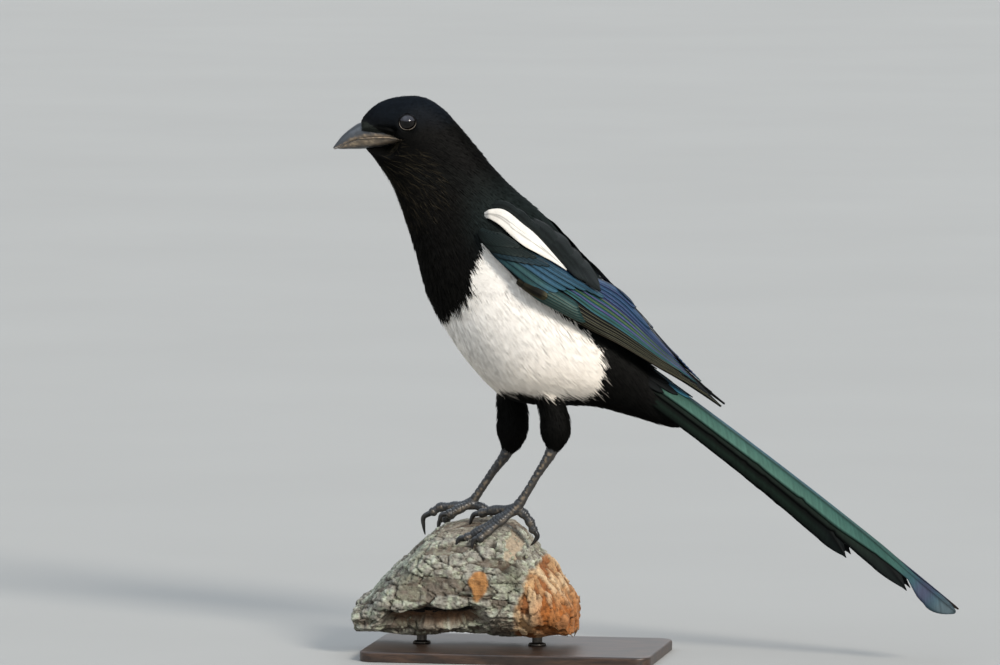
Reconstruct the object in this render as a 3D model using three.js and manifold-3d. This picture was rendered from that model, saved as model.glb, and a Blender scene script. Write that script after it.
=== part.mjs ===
// A Eurasian magpie standing on a short cut length of branch, life size, in millimetres.
// The bird faces -Y and its left side is +X. Up is +Z, and the origin is the middle of the
// underside of the display base.
import * as THREE from 'three';
import { mergeVertices } from 'three/addons/utils/BufferGeometryUtils.js';
import Module from 'manifold-3d';

const wasm = await Module();
wasm.setup();

// Driving dimensions
const gap = 0.3;
const headTurn = 10;
const neckPivotY = -38;
const bodySegments = 20;
const ringsPerStation = 2;
const headEnd = 5.5;
const neckEnd = 9.5;
const bodySquareness = 2.15;

const eyeRadius = 5.6;
const eyePlace = { x: 11.7, y: -59.7, z: 309.9 };

// Rows along the bill, in the frame of the unturned head: the ridge of the upper mandible,
// the cutting edges, the ridge of the lower mandible and half the width.
const billRows = [
  { y: -64, culmen: 306, edge: 300.6, gonys: 297.4, width: 6.2 },
  { y: -72, culmen: 308.6, edge: 301.4, gonys: 296.0, width: 7.2 },
  { y: -80, culmen: 310.2, edge: 300.9, gonys: 295.0, width: 7.0 },
  { y: -87, culmen: 309.0, edge: 300.2, gonys: 294.0, width: 6.1 },
  { y: -93, culmen: 305.3, edge: 298.1, gonys: 293.7, width: 4.8 },
  { y: -97.6, culmen: 301.3, edge: 295.8, gonys: 293.6, width: 3.3 },
  { y: -100.6, culmen: 297.6, edge: 294.6, gonys: 293.9, width: 1.9 },
  { y: -102.6, culmen: 294.9, edge: 294.1, gonys: 293.9, width: 0.6 },
];
const billRoundness = 0.85;
const lowerBillDepthMin = 0.6;

const tailRoot = { y: 79, z: 170.4 };
const tailSlope = 36.9;
const tailLength = 229;
const tailArch = 2.2;
// Tail feathers from the middle pair out: the length as a share of the longest, and the
// middle, half the width and the widening before the tip as angles over the arch.
const tailFeathers = [
  { reach: 1, middle: 18.5, half: 34.5, flare: 13 },
  { reach: 0.86, middle: 33, half: 27, flare: 0 },
  { reach: 0.7, middle: 61, half: 28, flare: 0 },
  { reach: 0.61, middle: 63, half: 26, flare: 0 },
  { reach: 0.53, middle: 65, half: 25, flare: 0 },
  { reach: 0.46, middle: 67, half: 24, flare: 0 },
];
const vaneThickness = 1.1;
const vaneStep = 0.75;
// Where the rounding of a feather's tip starts, as a share of its length, and how much of
// the width is gone at the very end.
const vaneTip = { start: 0.94, loss: 0.93 };

const toeRadius = 2.2;
const toeTaper = 0.5;
const clawRadius = 1.5;
const clawMiddleRadius = 1.08;
const clawTipRadius = 0.27;
// How far past its last ring a limb's end is domed, and the dome's ring, as shares of the radius.
const dome = { reach: 0.5, radius: 0.6 };

const perchSquareness = 2.4;
const perchTilt = 0.18;
const baseSize = { x: 96, y: 170, z: 6 };
const baseCorner = 9;
const baseCentreY = 4;
const rodRadius = 3;
const rodBottomZ = 2;
const rodTopZ = 26;
const rodPlaces = { front: -52, back: 16 };

// Stations down the middle of the body, from the root of the bill to the end of the
// undertail feathers: the middle (y, z), half the depth, half the width, the angle of the
// upward side in the y-z plane, and the turn of the head about the neck.
const bodyStations = [
  { y: -85.5, z: 301.9, depth: 9.1, width: 8.6, tilt: 99, turn: 10 },
  { y: -80.6, z: 303.4, depth: 14.1, width: 11.6, tilt: 92, turn: 10 },
  { y: -74.7, z: 303.2, depth: 19.1, width: 14.2, tilt: 85, turn: 10 },
  { y: -67.3, z: 301.7, depth: 23.6, width: 16.2, tilt: 77, turn: 10 },
  { y: -59.4, z: 298.2, depth: 27.5, width: 17.4, tilt: 70, turn: 10 },
  { y: -52.5, z: 291.1, depth: 29.8, width: 18.0, tilt: 64, turn: 9 },
  { y: -46.4, z: 282.0, depth: 30.7, width: 18.6, tilt: 58, turn: 7 },
  { y: -40.3, z: 272.0, depth: 32.0, width: 20.0, tilt: 52, turn: 5 },
  { y: -33.2, z: 260.0, depth: 33.5, width: 22.8, tilt: 45, turn: 3 },
  { y: -25.4, z: 247.9, depth: 36.6, width: 26.5, tilt: 40, turn: 1 },
  { y: -16.6, z: 235.3, depth: 41.3, width: 30.5, tilt: 36.5, turn: 0 },
  { y: -7.5, z: 222.6, depth: 43.8, width: 33.5, tilt: 33, turn: 0 },
  { y: 3.5, z: 207.6, depth: 45.5, width: 35.5, tilt: 31.5, turn: 0 },
  { y: 16.2, z: 192.7, depth: 46.5, width: 36, tilt: 34, turn: 0 },
  { y: 29.0, z: 177.0, depth: 42.8, width: 34.5, tilt: 38.5, turn: 0 },
  { y: 45.1, z: 167.2, depth: 32.6, width: 29.5, tilt: 40, turn: 0 },
  { y: 63.3, z: 160.4, depth: 21.5, width: 22, tilt: 41, turn: 0 },
  { y: 79.2, z: 151.6, depth: 14.2, width: 15, tilt: 46, turn: 0 },
  { y: 93.5, z: 142.6, depth: 8.4, width: 10, tilt: 52, turn: 0 },
  { y: 101.5, z: 137.8, depth: 4.0, width: 6, tilt: 54, turn: 0 },
];

// Stations along a folded wing, from the bend at the shoulder to the tip of the primaries:
// the lower edge, the upper edge, how far out from the middle of the back the lower edge,
// the face and the upper edge lie, and the thickness. The wing's own length runs along
// wingLength, and its inner face stays outside wingInnerReach of the upper edge's place.
const wingStations = [
  { low: [-12.3, 247.8], high: [-10.7, 251.8], out: [29, 29.6, 28.5], thick: 5 },
  { low: [-7.1, 237.4], high: [2.5, 245.5], out: [33.6, 34.2, 30], thick: 7 },
  { low: [3.4, 226.1], high: [17.8, 236.1], out: [37.5, 38, 28], thick: 8 },
  { low: [18.5, 212.6], high: [34.4, 226.2], out: [39.8, 39.6, 24], thick: 8 },
  { low: [36.3, 202.4], high: [52.4, 217.6], out: [38.5, 35.6, 14.2], thick: 8 },
  { low: [53.5, 192.6], high: [65.5, 210.4], out: [34, 27.5, 1], thick: 7 },
  { low: [68.0, 185.1], high: [78.7, 197.2], out: [27.5, 19.5, 0.8], thick: 5 },
  { low: [86.6, 173.0], high: [94.5, 178.9], out: [19, 13, 0.8], thick: 3.5 },
  { low: [103.0, 162.2], high: [107.2, 166.2], out: [13, 10, 2.5], thick: 2.5 },
  { low: [124.6, 147.6], high: [125.3, 148.4], out: [8.2, 7.6, 6.6], thick: 1.2 },
];
const wingLength = [-0.12, 0.78, -0.62];
const wingInnerReach = 0.9;
const wingArcSteps = 4;
const wingRingsPerStation = 2;

// Stations along the branch: place, top, bottom and half the width.
const perchStations = [
  { y: -90, top: 30, bottom: 12.5, width: 21 },
  { y: -80, top: 36.5, bottom: 11.6, width: 24 },
  { y: -70, top: 49, bottom: 11.2, width: 28 },
  { y: -54, top: 64.6, bottom: 11, width: 32 },
  { y: -40, top: 75.2, bottom: 11, width: 34 },
  { y: -18, top: 79.4, bottom: 11, width: 34.5 },
  { y: 1, top: 77.8, bottom: 11, width: 33.5 },
  { y: 13, top: 67, bottom: 11.2, width: 31.5 },
  { y: 26, top: 50.5, bottom: 11.6, width: 28 },
  { y: 38, top: 31, bottom: 12.5, width: 23 },
];
const perchSegments = 18;
const perchRingsPerStation = 2;
const barkSwell = 0.035;

// Each foot: the tarsus from inside the feathered thigh to the toes, then the toes as
// points (x, y, z) that end where the claw starts, and the top and the tip of each claw.
const feet = {
  left: {
    thigh: [
      [15, 26.5, 160, 8.6],
      [15, 27.6, 146, 8.4],
      [15, 28.9, 138.5, 9],
      [15, 29.2, 132.7, 9.5],
      [15, 28.9, 127.5, 7.9],
      [15.2, 28.2, 123.3, 4.9],
      [15.3, 27.3, 121.2, 3.5],
    ],
    tarsus: [
      [15, 28.6, 134, 2.6],
      [15.3, 27.1, 121, 2.9],
      [15.4, 19, 107.4, 2.1],
      [15.5, 10.9, 93.9, 2.2],
      [15.5, 6.2, 87.2, 3.1],
    ],
    toes: {
      inner: {
        path: [[15, 5, 86.8], [9, -7.2, 85.2], [4.6, -15.6, 83.0]],
        claw: [[3.7, -20.6, 81.8], [3.2, -23, 75]],
      },
      middle: {
        path: [[15.5, 5, 86.4], [17, -4.1, 80.6], [19, -15.5, 73.6], [19.6, -21.3, 70.4]],
        claw: [[20, -26, 69.6], [20.2, -27.9, 64.6]],
      },
      outer: {
        path: [[16, 5, 86.2], [19.5, -1.6, 80.6], [23, -9.2, 74.2], [24.4, -12.9, 70.9]],
        claw: [[25.2, -16.6, 69.8], [25.6, -17.6, 64.6]],
      },
      hind: {
        path: [[15.3, 5, 86.6], [14.6, 10.4, 84.2], [14, 14.2, 79.2], [13.8, 15.9, 75.2]],
        claw: [[13.6, 18.4, 71.2], [13.4, 14.6, 65.8]],
      },
    },
  },
  right: {
    thigh: [
      [-16, -2.5, 162, 9],
      [-16, -2.2, 147, 8.6],
      [-16, -1.3, 138, 9.6],
      [-16, -1.5, 129, 9.8],
      [-16, -2.2, 122.6, 7.4],
      [-16, -3.6, 118.6, 4.8],
      [-16, -4.6, 116.8, 3.5],
    ],
    tarsus: [
      [-16, -2.2, 130, 2.6],
      [-16, -4.4, 117, 2.9],
      [-16.2, -13.5, 104.2, 2.1],
      [-16.3, -22.6, 90.7, 2.2],
      [-16.4, -26.4, 85.8, 3.1],
    ],
    toes: {
      inner: {
        path: [[-15.6, -27, 85.6], [-11, -32.8, 83], [-8, -37, 80.8]],
        claw: [[-6.6, -41.4, 80.2], [-6.2, -43, 74]],
      },
      middle: {
        path: [[-16.4, -27.4, 85.8], [-17, -35.4, 84.2], [-18, -43.8, 83.4], [-18, -48.4, 80.8]],
        claw: [[-18.2, -54.2, 77.4], [-18.2, -53.4, 67.4]],
      },
      outer: {
        path: [[-17, -27, 85.6], [-22, -33.4, 82.4], [-26, -39.4, 78.4], [-27.6, -42.4, 75.6]],
        claw: [[-28.8, -46.4, 74.4], [-29.2, -47.6, 68.6]],
      },
      hind: {
        path: [[-16, -25.4, 85.6], [-15.4, -19.6, 84], [-15, -13.6, 81.8]],
        claw: [[-14.8, -8.6, 81.6], [-14.6, -6, 77.4]],
      },
    },
  },
};
const limbSegments = 6;
const clawSegments = 5;

const finish = {
  black: { color: 0x17181a, roughness: 0.7 },
  white: { color: 0xf2ece2, roughness: 0.8 },
  wingBlue: { color: 0x2b3f60, roughness: 0.45 },
  tailGreen: { color: 0x2f6a5a, roughness: 0.45 },
  horn: { color: 0x2e2f33, roughness: 0.4 },
  eye: { color: 0x120d0b, roughness: 0.08 },
  shank: { color: 0x34363b, roughness: 0.6 },
  bark: { color: 0x8f8a80, roughness: 0.95 },
  standWood: { color: 0x4a3222, roughness: 0.5 },
  rod: { color: 0x9a9a98, roughness: 0.35, metalness: 1 },
};

const magpie = new THREE.Group();

function addPart(name, geometry, look) {
  geometry.computeVertexNormals();
  const mesh = new THREE.Mesh(geometry, new THREE.MeshStandardMaterial(look));
  mesh.name = name;
  magpie.add(mesh);
}

// Smooth value through the rows of a table, for a number or for a list of numbers.
function smooth(a, b, c, d, t) {
  const slope = c - a;
  const bend = 2 * a - 5 * b + 4 * c - d;
  const twist = 3 * b - a - 3 * c + d;
  return 0.5 * (2 * b + slope * t + bend * t * t + twist * t ** 3);
}

function alongTable(rows, u) {
  const last = rows.length - 1;
  const from = Math.min(Math.floor(u), last - 1);
  const near = [from - 1, from, from + 1, from + 2].map((i) => rows[Math.min(Math.max(i, 0), last)]);
  const row = {};
  for (const key of Object.keys(rows[0])) {
    const values = near.map((r) => r[key]);
    row[key] = Array.isArray(values[0])
      ? values[0].map((_, i) => smooth(...values.map((v) => v[i]), u - from))
      : smooth(...values, u - from);
  }
  return row;
}

function steps(from, to, count) {
  return Array.from({ length: count + 1 }, (_, i) => from + ((to - from) * i) / count);
}

// A closed solid through a stack of rings with equal counts of points, fanned over both ends.
function loft(rings) {
  const count = rings[0].length;
  const middle = (ring) => ring.reduce((sum, p) => sum.add(p), new THREE.Vector3()).divideScalar(count);
  const points = [...rings.flat(), middle(rings[0]), middle(rings.at(-1))];
  const startHub = rings.length * count;
  const endHub = startHub + 1;
  const faces = [];
  for (let i = 0; i < count; i += 1) {
    const next = (i + 1) % count;
    faces.push(startHub, next, i);
    faces.push(endHub, startHub - count + i, startHub - count + next);
    for (let r = 0; r < rings.length - 1; r += 1) {
      const here = r * count;
      faces.push(here + i, here + next, here + count + i);
      faces.push(here + next, here + count + next, here + count + i);
    }
  }
  const geometry = new THREE.BufferGeometry().setFromPoints(points);
  geometry.setIndex(faces);
  return outward(geometry);
}

function outward(geometry) {
  const place = geometry.getAttribute('position');
  const index = geometry.getIndex();
  const corner = [0, 1, 2].map(() => new THREE.Vector3());
  let volume = 0;
  for (let i = 0; i < index.count; i += 3) {
    corner.forEach((c, k) => c.fromBufferAttribute(place, index.getX(i + k)));
    volume += corner[0].dot(corner[1].cross(corner[2]));
  }
  if (volume < 0) {
    for (let i = 0; i < index.count; i += 3) {
      const first = index.getX(i);
      index.setX(i, index.getX(i + 1));
      index.setX(i + 1, first);
    }
  }
  return geometry;
}

function toSolid(geometry) {
  const bare = geometry.clone();
  bare.deleteAttribute('normal');
  bare.deleteAttribute('uv');
  const merged = mergeVertices(bare, 1e-4);
  return new wasm.Manifold(new wasm.Mesh({
    numProp: 3,
    vertProperties: Float32Array.from(merged.getAttribute('position').array),
    triVerts: Uint32Array.from(merged.getIndex().array),
  }));
}

// The largest piece of a solid, without the crumbs that a cut may leave.
function toGeometry(solid) {
  const whole = solid.decompose().sort((a, b) => b.volume() - a.volume())[0];
  const mesh = whole.getMesh();
  const geometry = new THREE.BufferGeometry();
  const corners = new THREE.BufferAttribute(Float32Array.from(mesh.vertProperties), mesh.numProp);
  geometry.setAttribute('position', corners);
  geometry.setIndex(new THREE.BufferAttribute(Uint32Array.from(mesh.triVerts), 1));
  return geometry;
}

function join(solids) {
  return solids.reduce((sum, solid) => sum.add(solid));
}

function cut(solid, tools) {
  return tools.reduce((rest, tool) => rest.subtract(tool), solid);
}

// Turns a point of the straight head frame about the upright axis through the neck.
function turned(point, degrees) {
  const angle = THREE.MathUtils.degToRad(degrees);
  const y = point.y - neckPivotY;
  return new THREE.Vector3(
    point.x * Math.cos(angle) - y * Math.sin(angle),
    neckPivotY + point.x * Math.sin(angle) + y * Math.cos(angle),
    point.z,
  );
}

function power(value, squareness) {
  return Math.sign(value) * Math.abs(value) ** (2 / squareness);
}

// One ring of the body at station u, grown by extra and slid by shift square to its plane.
function bodyRing(u, extra, shift) {
  const s = alongTable(bodyStations, u);
  const tilt = THREE.MathUtils.degToRad(s.tilt);
  return Array.from({ length: bodySegments }, (_, i) => {
    const angle = (2 * Math.PI * i) / bodySegments;
    const rise = power(Math.cos(angle), bodySquareness) * (s.depth + extra);
    const side = power(Math.sin(angle), bodySquareness) * (s.width + extra);
    return turned(new THREE.Vector3(
      side,
      s.y + Math.cos(tilt) * rise + Math.sin(tilt) * shift,
      s.z + Math.sin(tilt) * rise - Math.cos(tilt) * shift,
    ), s.turn);
  });
}

function bodyLength(from, to, extra, startShift) {
  const count = Math.round((to - from) * ringsPerStation);
  return loft(steps(from, to, count).map((u, i) => bodyRing(u, extra, i === 0 ? startShift : 0)));
}

// A section of a mandible at place y: the cutting edge is level, and the ridge is above or below.
function billSection(y, edge, ridge, halfWidth) {
  const arc = steps(0, Math.PI, 8).map((angle) => turned(new THREE.Vector3(
    halfWidth * Math.cos(angle),
    y,
    edge + (ridge - edge) * Math.sin(angle) ** billRoundness,
  ), headTurn));
  return [...arc, turned(new THREE.Vector3(0, y, edge), headTurn)];
}

function mandible(upper, extra) {
  const rows = upper ? billRows : billRows.slice(0, -1);
  const count = rows.length - 1;
  return loft(rows.map((s, i) => {
    const side = upper ? 1 : -1;
    const edge = s.edge + side * (gap / 2 - extra);
    const ridge = (upper ? s.culmen : Math.min(s.gonys, s.edge - lowerBillDepthMin)) + side * extra;
    const slide = i === 0 ? extra : i === count ? -extra : 0;
    return billSection(s.y + slide, edge, ridge, s.width + extra);
  }));
}

function eyeball(side, extra) {
  const centre = turned(new THREE.Vector3(side * eyePlace.x, eyePlace.y, eyePlace.z), headTurn);
  const ball = new THREE.SphereGeometry(eyeRadius + extra, 12, 8);
  ball.rotateX(Math.PI / 2);
  ball.rotateY(Math.PI / 2);
  ball.translate(centre.x, centre.y, centre.z);
  return ball;
}

// One ring of a folded wing: the outer face from the lower to the upper edge, then back
// along the inner face.
function wingRing(u, side) {
  const s = alongTable(wingStations, u);
  const low = new THREE.Vector3(s.out[0], ...s.low);
  const high = new THREE.Vector3(s.out[2], ...s.high);
  const face = low.clone().add(high).multiplyScalar(0.5).setX(s.out[1]);
  const handle = face.clone().multiplyScalar(2).sub(low.clone().add(high).multiplyScalar(0.5));
  const chord = high.clone().sub(low).normalize();
  const length = new THREE.Vector3(...wingLength).normalize();
  const inward = chord.cross(length).normalize().multiplyScalar(s.thick);
  if (inward.x > 0) {
    inward.negate();
  }
  const curve = new THREE.QuadraticBezierCurve3(low, handle, high);
  const outer = curve.getPoints(wingArcSteps);
  const inner = outer.map((p) => p.clone().add(inward)).reverse();
  for (const p of inner) {
    p.x = Math.max(p.x, outer.at(-1).x * wingInnerReach);
  }
  return [...outer, ...inner].map((p) => p.setX(p.x * side));
}

function foldedWing(side) {
  const last = wingStations.length - 1;
  return loft(steps(0, last, last * wingRingsPerStation).map((u) => wingRing(u, side)));
}

// The arched line of the closed tail's top, and how wide and deep its arch is there.
function tailLine(along) {
  const slope = THREE.MathUtils.degToRad(tailSlope);
  const part = along / tailLength;
  const lift = tailArch * 4 * part * (1 - part);
  return {
    y: tailRoot.y + Math.cos(slope) * along + Math.sin(slope) * lift,
    z: tailRoot.z - Math.sin(slope) * along + Math.cos(slope) * lift,
    halfWidth: THREE.MathUtils.lerp(14.5, 10.5, part),
    drop: THREE.MathUtils.lerp(15.5, 25.5, part ** 2),
  };
}

// One ring of a tail feather that spans the angles from and to over the arch.
function vaneRing(along, from, to, layer, extra) {
  const slope = THREE.MathUtils.degToRad(tailSlope);
  const line = tailLine(along);
  const at = (angle, depth) => {
    const down = line.drop * (1 - Math.cos(angle)) + depth * Math.cos(angle);
    const out = (line.halfWidth - depth) * Math.sin(angle);
    return new THREE.Vector3(out, line.y - Math.sin(slope) * down, line.z - Math.cos(slope) * down);
  };
  const angles = steps(from, to, layer < 3 ? 3 : 2);
  const top = angles.map((angle) => at(angle, layer * vaneStep - extra));
  const bottom = angles.map((angle) => at(angle, layer * vaneStep + vaneThickness + extra)).reverse();
  return [...top, ...bottom];
}

function tailFeather(layer, side, extra) {
  const feather = tailFeathers[layer];
  const length = tailLength * feather.reach;
  const places = layer < 3 ? [0, 0.3, 0.6, 0.86, 0.91, 0.955, 0.98, 1] : [0, 0.96, 1];
  return loft(places.map((t) => {
    const past = Math.max(0, t - vaneTip.start) / (1 - vaneTip.start);
    const blunt = Math.sqrt(1 - vaneTip.loss * past ** 2);
    const flare = feather.flare * Math.sin(Math.PI * Math.max(0, (t - 0.85) / 0.2)) ** 2;
    const middle = side * THREE.MathUtils.degToRad(feather.middle + flare / 2);
    const half = THREE.MathUtils.degToRad(feather.half + flare / 2) * blunt + extra / 12;
    const along = length * t + (t === 1 ? extra : 0);
    const depth = layer + (side < 0 ? 0.35 : 0);
    return vaneRing(along, middle - half, middle + half, depth, extra);
  }));
}

function closedTail(extra) {
  const feathers = [];
  for (let layer = 0; layer < tailFeathers.length; layer += 1) {
    for (const side of [1, -1]) {
      feathers.push(toSolid(tailFeather(layer, side, extra)));
    }
  }
  return join(feathers);
}

// A limb of round sections through points (x, y, z), each with its radius, with domed ends.
function limb(points, radii, segments, perSpan, extra) {
  const places = points.map((p) => new THREE.Vector3(...p));
  const curve = new THREE.CatmullRomCurve3(places, false, 'centripetal');
  const count = (points.length - 1) * perSpan;
  const rows = radii.map((radius) => ({ radius }));
  const side = new THREE.Vector3(1, 0, 0);
  const rings = [];
  const ringAt = (centre, along, radius) => {
    const across = side.clone().addScaledVector(along, -side.dot(along)).normalize();
    const over = along.clone().cross(across);
    return Array.from({ length: segments }, (_, i) => {
      const angle = (2 * Math.PI * i) / segments;
      return centre.clone()
        .addScaledVector(across, Math.cos(angle) * radius)
        .addScaledVector(over, Math.sin(angle) * radius);
    });
  };
  for (let i = 0; i <= count; i += 1) {
    const t = i / count;
    const centre = curve.getPoint(t);
    const along = curve.getTangent(t);
    const radius = alongTable(rows, t * (rows.length - 1)).radius + extra;
    if (i === 0) {
      const start = centre.clone().addScaledVector(along, -dome.reach * radius);
      rings.push(ringAt(start, along, dome.radius * radius));
    }
    rings.push(ringAt(centre, along, radius));
    if (i === count) {
      const end = centre.clone().addScaledVector(along, dome.reach * radius);
      rings.push(ringAt(end, along, dome.radius * radius));
    }
  }
  return toSolid(loft(rings));
}

function tableLimb(rows, perSpan, extra) {
  return limb(rows.map((r) => r.slice(0, 3)), rows.map((r) => r[3]), limbSegments, perSpan, extra);
}

function shank(foot, extra) {
  const toes = Object.values(foot.toes).map(({ path }) => {
    const radii = path.map((_, i) => toeRadius - (toeTaper * i) / path.length);
    return limb(path, radii, limbSegments, path.length > 3 ? 1 : 2, extra);
  });
  return join([tableLimb(foot.tarsus, 2, extra), ...toes]);
}

function claw(toe, extra) {
  const root = toe.path.at(-1);
  const [top, tip] = toe.claw;
  return limb([root, top, tip], [clawRadius, clawMiddleRadius, clawTipRadius], clawSegments, 2, extra);
}

function perchRing(u) {
  const s = alongTable(perchStations, u);
  const centre = (s.top + s.bottom) / 2;
  const half = (s.top - s.bottom) / 2;
  return Array.from({ length: perchSegments }, (_, i) => {
    const angle = (2 * Math.PI * i) / perchSegments;
    const waves = Math.sin(3 * angle + u * 1.7) + 0.7 * Math.sin(5 * angle - u * 2.6);
    const swell = 1 + barkSwell * waves;
    const upper = Math.max(0, Math.cos(angle));
    const x = power(Math.sin(angle), perchSquareness) * s.width * swell;
    const rise = power(Math.cos(angle), perchSquareness) * half;
    const z = centre + rise * (1 + (swell - 1) * (1 - upper));
    return new THREE.Vector3(x, s.y, z - perchTilt * upper * x);
  });
}

function branch() {
  const last = perchStations.length - 1;
  return toSolid(loft(steps(0, last, last * perchRingsPerStation).map((u) => perchRing(u))));
}

function rod(y, extra) {
  const height = rodTopZ - rodBottomZ + 2 * extra;
  const geometry = new THREE.CylinderGeometry(rodRadius + extra, rodRadius + extra, height, 12);
  geometry.rotateX(Math.PI / 2);
  geometry.translate(0, y, (rodTopZ + rodBottomZ) / 2);
  return geometry;
}

function basePlate() {
  const x = baseSize.x / 2;
  const y = baseSize.y / 2;
  const outline = new THREE.Shape();
  outline.moveTo(-x + baseCorner, -y);
  outline.lineTo(x - baseCorner, -y);
  outline.absarc(x - baseCorner, -y + baseCorner, baseCorner, -Math.PI / 2, 0, false);
  outline.absarc(x - baseCorner, y - baseCorner, baseCorner, 0, Math.PI / 2, false);
  outline.absarc(-x + baseCorner, y - baseCorner, baseCorner, Math.PI / 2, Math.PI, false);
  outline.absarc(-x + baseCorner, -y + baseCorner, baseCorner, Math.PI, 1.5 * Math.PI, false);
  const plate = new THREE.ExtrudeGeometry(outline, {
    depth: baseSize.z,
    bevelEnabled: false,
    curveSegments: 4,
  });
  plate.translate(0, baseCentreY, 0);
  return plate;
}

// The solids that others are cut by, each grown by the gap.
const last = bodyStations.length - 1;
const grownTrunk = toSolid(bodyLength(neckEnd - 1, last, gap, 0));
const grownTail = closedTail(gap);
const legs = { left: shank(feet.left, 0), right: shank(feet.right, 0) };
const grownLegs = { left: shank(feet.left, gap), right: shank(feet.right, gap) };
const upperBill = toSolid(mandible(true, gap));
const lowerBill = toSolid(mandible(false, gap));
const eyeSockets = [1, -1].map((side) => toSolid(eyeball(side, gap)));
const rodHoles = Object.values(rodPlaces).map((y) => toSolid(rod(y, gap)));

const wholeHead = toSolid(bodyLength(0, headEnd, 0, 0));
const openHead = cut(wholeHead, [upperBill, lowerBill, ...eyeSockets]);
addPart('head', toGeometry(openHead), finish.black);
addPart('neck', bodyLength(headEnd, neckEnd, 0, gap), finish.black);
addPart('trunk', bodyLength(neckEnd, last, 0, gap), finish.white);
addPart('bill_upper', mandible(true, 0), finish.horn);
addPart('bill_lower', mandible(false, 0), finish.horn);
addPart('eye_left', eyeball(1, 0), finish.eye);
addPart('eye_right', eyeball(-1, 0), finish.eye);
addPart('tail', toGeometry(closedTail(0).subtract(grownTrunk)), finish.tailGreen);

for (const [name, side] of [['left', 1], ['right', -1]]) {
  const foot = feet[name];
  const toes = Object.entries(foot.toes);
  const wing = cut(toSolid(foldedWing(side)), [grownTrunk, grownTail]);
  addPart(`wing_${name}`, toGeometry(wing), finish.wingBlue);
  const thigh = cut(tableLimb(foot.thigh, 2, 0), [grownTrunk, grownLegs[name]]);
  addPart(`thigh_${name}`, toGeometry(thigh), finish.black);
  const bareLeg = cut(legs[name], toes.map(([, toe]) => claw(toe, gap)));
  addPart(`leg_${name}`, toGeometry(bareLeg), finish.shank);
  for (const [toeName, toe] of toes) {
    addPart(`claw_${name}_${toeName}`, toGeometry(claw(toe, 0)), finish.horn);
  }
}

const allToes = Object.values(feet).flatMap((foot) => Object.values(foot.toes));
const clawHoles = allToes.map((toe) => claw(toe, gap));
const perchTools = [...Object.values(grownLegs), ...clawHoles, ...rodHoles];
addPart('perch_branch', toGeometry(cut(branch(), perchTools)), finish.bark);
addPart('stand_base', toGeometry(cut(toSolid(basePlate()), rodHoles)), finish.standWood);
for (const [name, y] of Object.entries(rodPlaces)) {
  addPart(`stand_rod_${name}`, rod(y, 0), finish.rod);
}

export default magpie;
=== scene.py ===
import math

import bpy
import numpy as np
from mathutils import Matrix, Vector
from mathutils.bvhtree import BVHTree
from mathutils.kdtree import KDTree


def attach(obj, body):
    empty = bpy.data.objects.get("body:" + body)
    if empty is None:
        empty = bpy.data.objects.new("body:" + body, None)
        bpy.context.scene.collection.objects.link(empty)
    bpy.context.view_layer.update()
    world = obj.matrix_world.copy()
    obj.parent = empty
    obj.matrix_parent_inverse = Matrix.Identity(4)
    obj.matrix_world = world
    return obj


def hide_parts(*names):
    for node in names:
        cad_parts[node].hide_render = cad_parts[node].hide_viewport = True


# A Eurasian magpie on a cut branch: a still, life-size bird, head turned to its left.
# Tables are in millimetres, as in the CAD source; the meshes are in metres.
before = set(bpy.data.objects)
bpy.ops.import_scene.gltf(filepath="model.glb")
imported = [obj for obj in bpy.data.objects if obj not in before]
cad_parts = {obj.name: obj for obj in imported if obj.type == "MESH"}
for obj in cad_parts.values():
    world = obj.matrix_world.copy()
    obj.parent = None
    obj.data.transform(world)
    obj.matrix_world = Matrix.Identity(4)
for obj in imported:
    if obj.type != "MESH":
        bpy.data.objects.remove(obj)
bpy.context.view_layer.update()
scene = bpy.context.scene


def unit(v):
    v = np.asarray(v, float)
    return v / np.maximum(np.linalg.norm(v, axis=-1, keepdims=True), 1e-9)


def ramp(x, low, high):  # 0 below low, 1 above high, smooth between
    t = np.clip((np.asarray(x, float) - low) / (high - low), 0, 1)
    return t * t * (3 - 2 * t)


def mix(a, b, t):
    return a + (b - a) * t


def alongTable(rows, u):  # a smooth curve through the rows of a table, as in the CAD source
    rows = np.asarray(rows, float)
    u = np.clip(np.asarray(u, float), 0, len(rows) - 1)
    i = np.minimum(u.astype(int), len(rows) - 2)
    t = (u - i)[..., None]
    a, b, c = rows[np.maximum(i - 1, 0)], rows[i], rows[i + 1]
    d = rows[np.minimum(i + 2, len(rows) - 1)]
    bend, twist = 2 * a - 5 * b + 4 * c - d, 3 * b - a - 3 * c + d
    return 0.5 * (2 * b + (c - a) * t + bend * t**2 + twist * t**3)


def softNoise(points, size, seed=0):  # smooth lumps about `size` across, from -1 to 1
    p = np.asarray(points, float) / size + np.array([17.31, 5.77, 29.13]) * (seed + 1)
    cell = np.floor(p).astype(np.int64)
    f = p - cell
    f = f * f * (3 - 2 * f)
    total = 0
    for corner in range(8):  # a value hashed from each corner of the cell
        step = np.array([corner & 1, corner >> 1 & 1, corner >> 2 & 1])
        k = cell + step
        h = (k[..., 0] * 73856093) ^ (k[..., 1] * 19349663) ^ (k[..., 2] * 83492791)
        h = ((h ^ (h >> 13)) * 1274126177) & 0x7FFFFFFF
        h = ((h ^ (h >> 15)) * 668265263) & 0x7FFFFFFF
        weight = np.prod(np.where(step == 1, f, 1 - f), axis=-1)
        total = total + weight * ((h >> 7 & 0xFFFF) / 32767.5 - 1)
    return total


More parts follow.
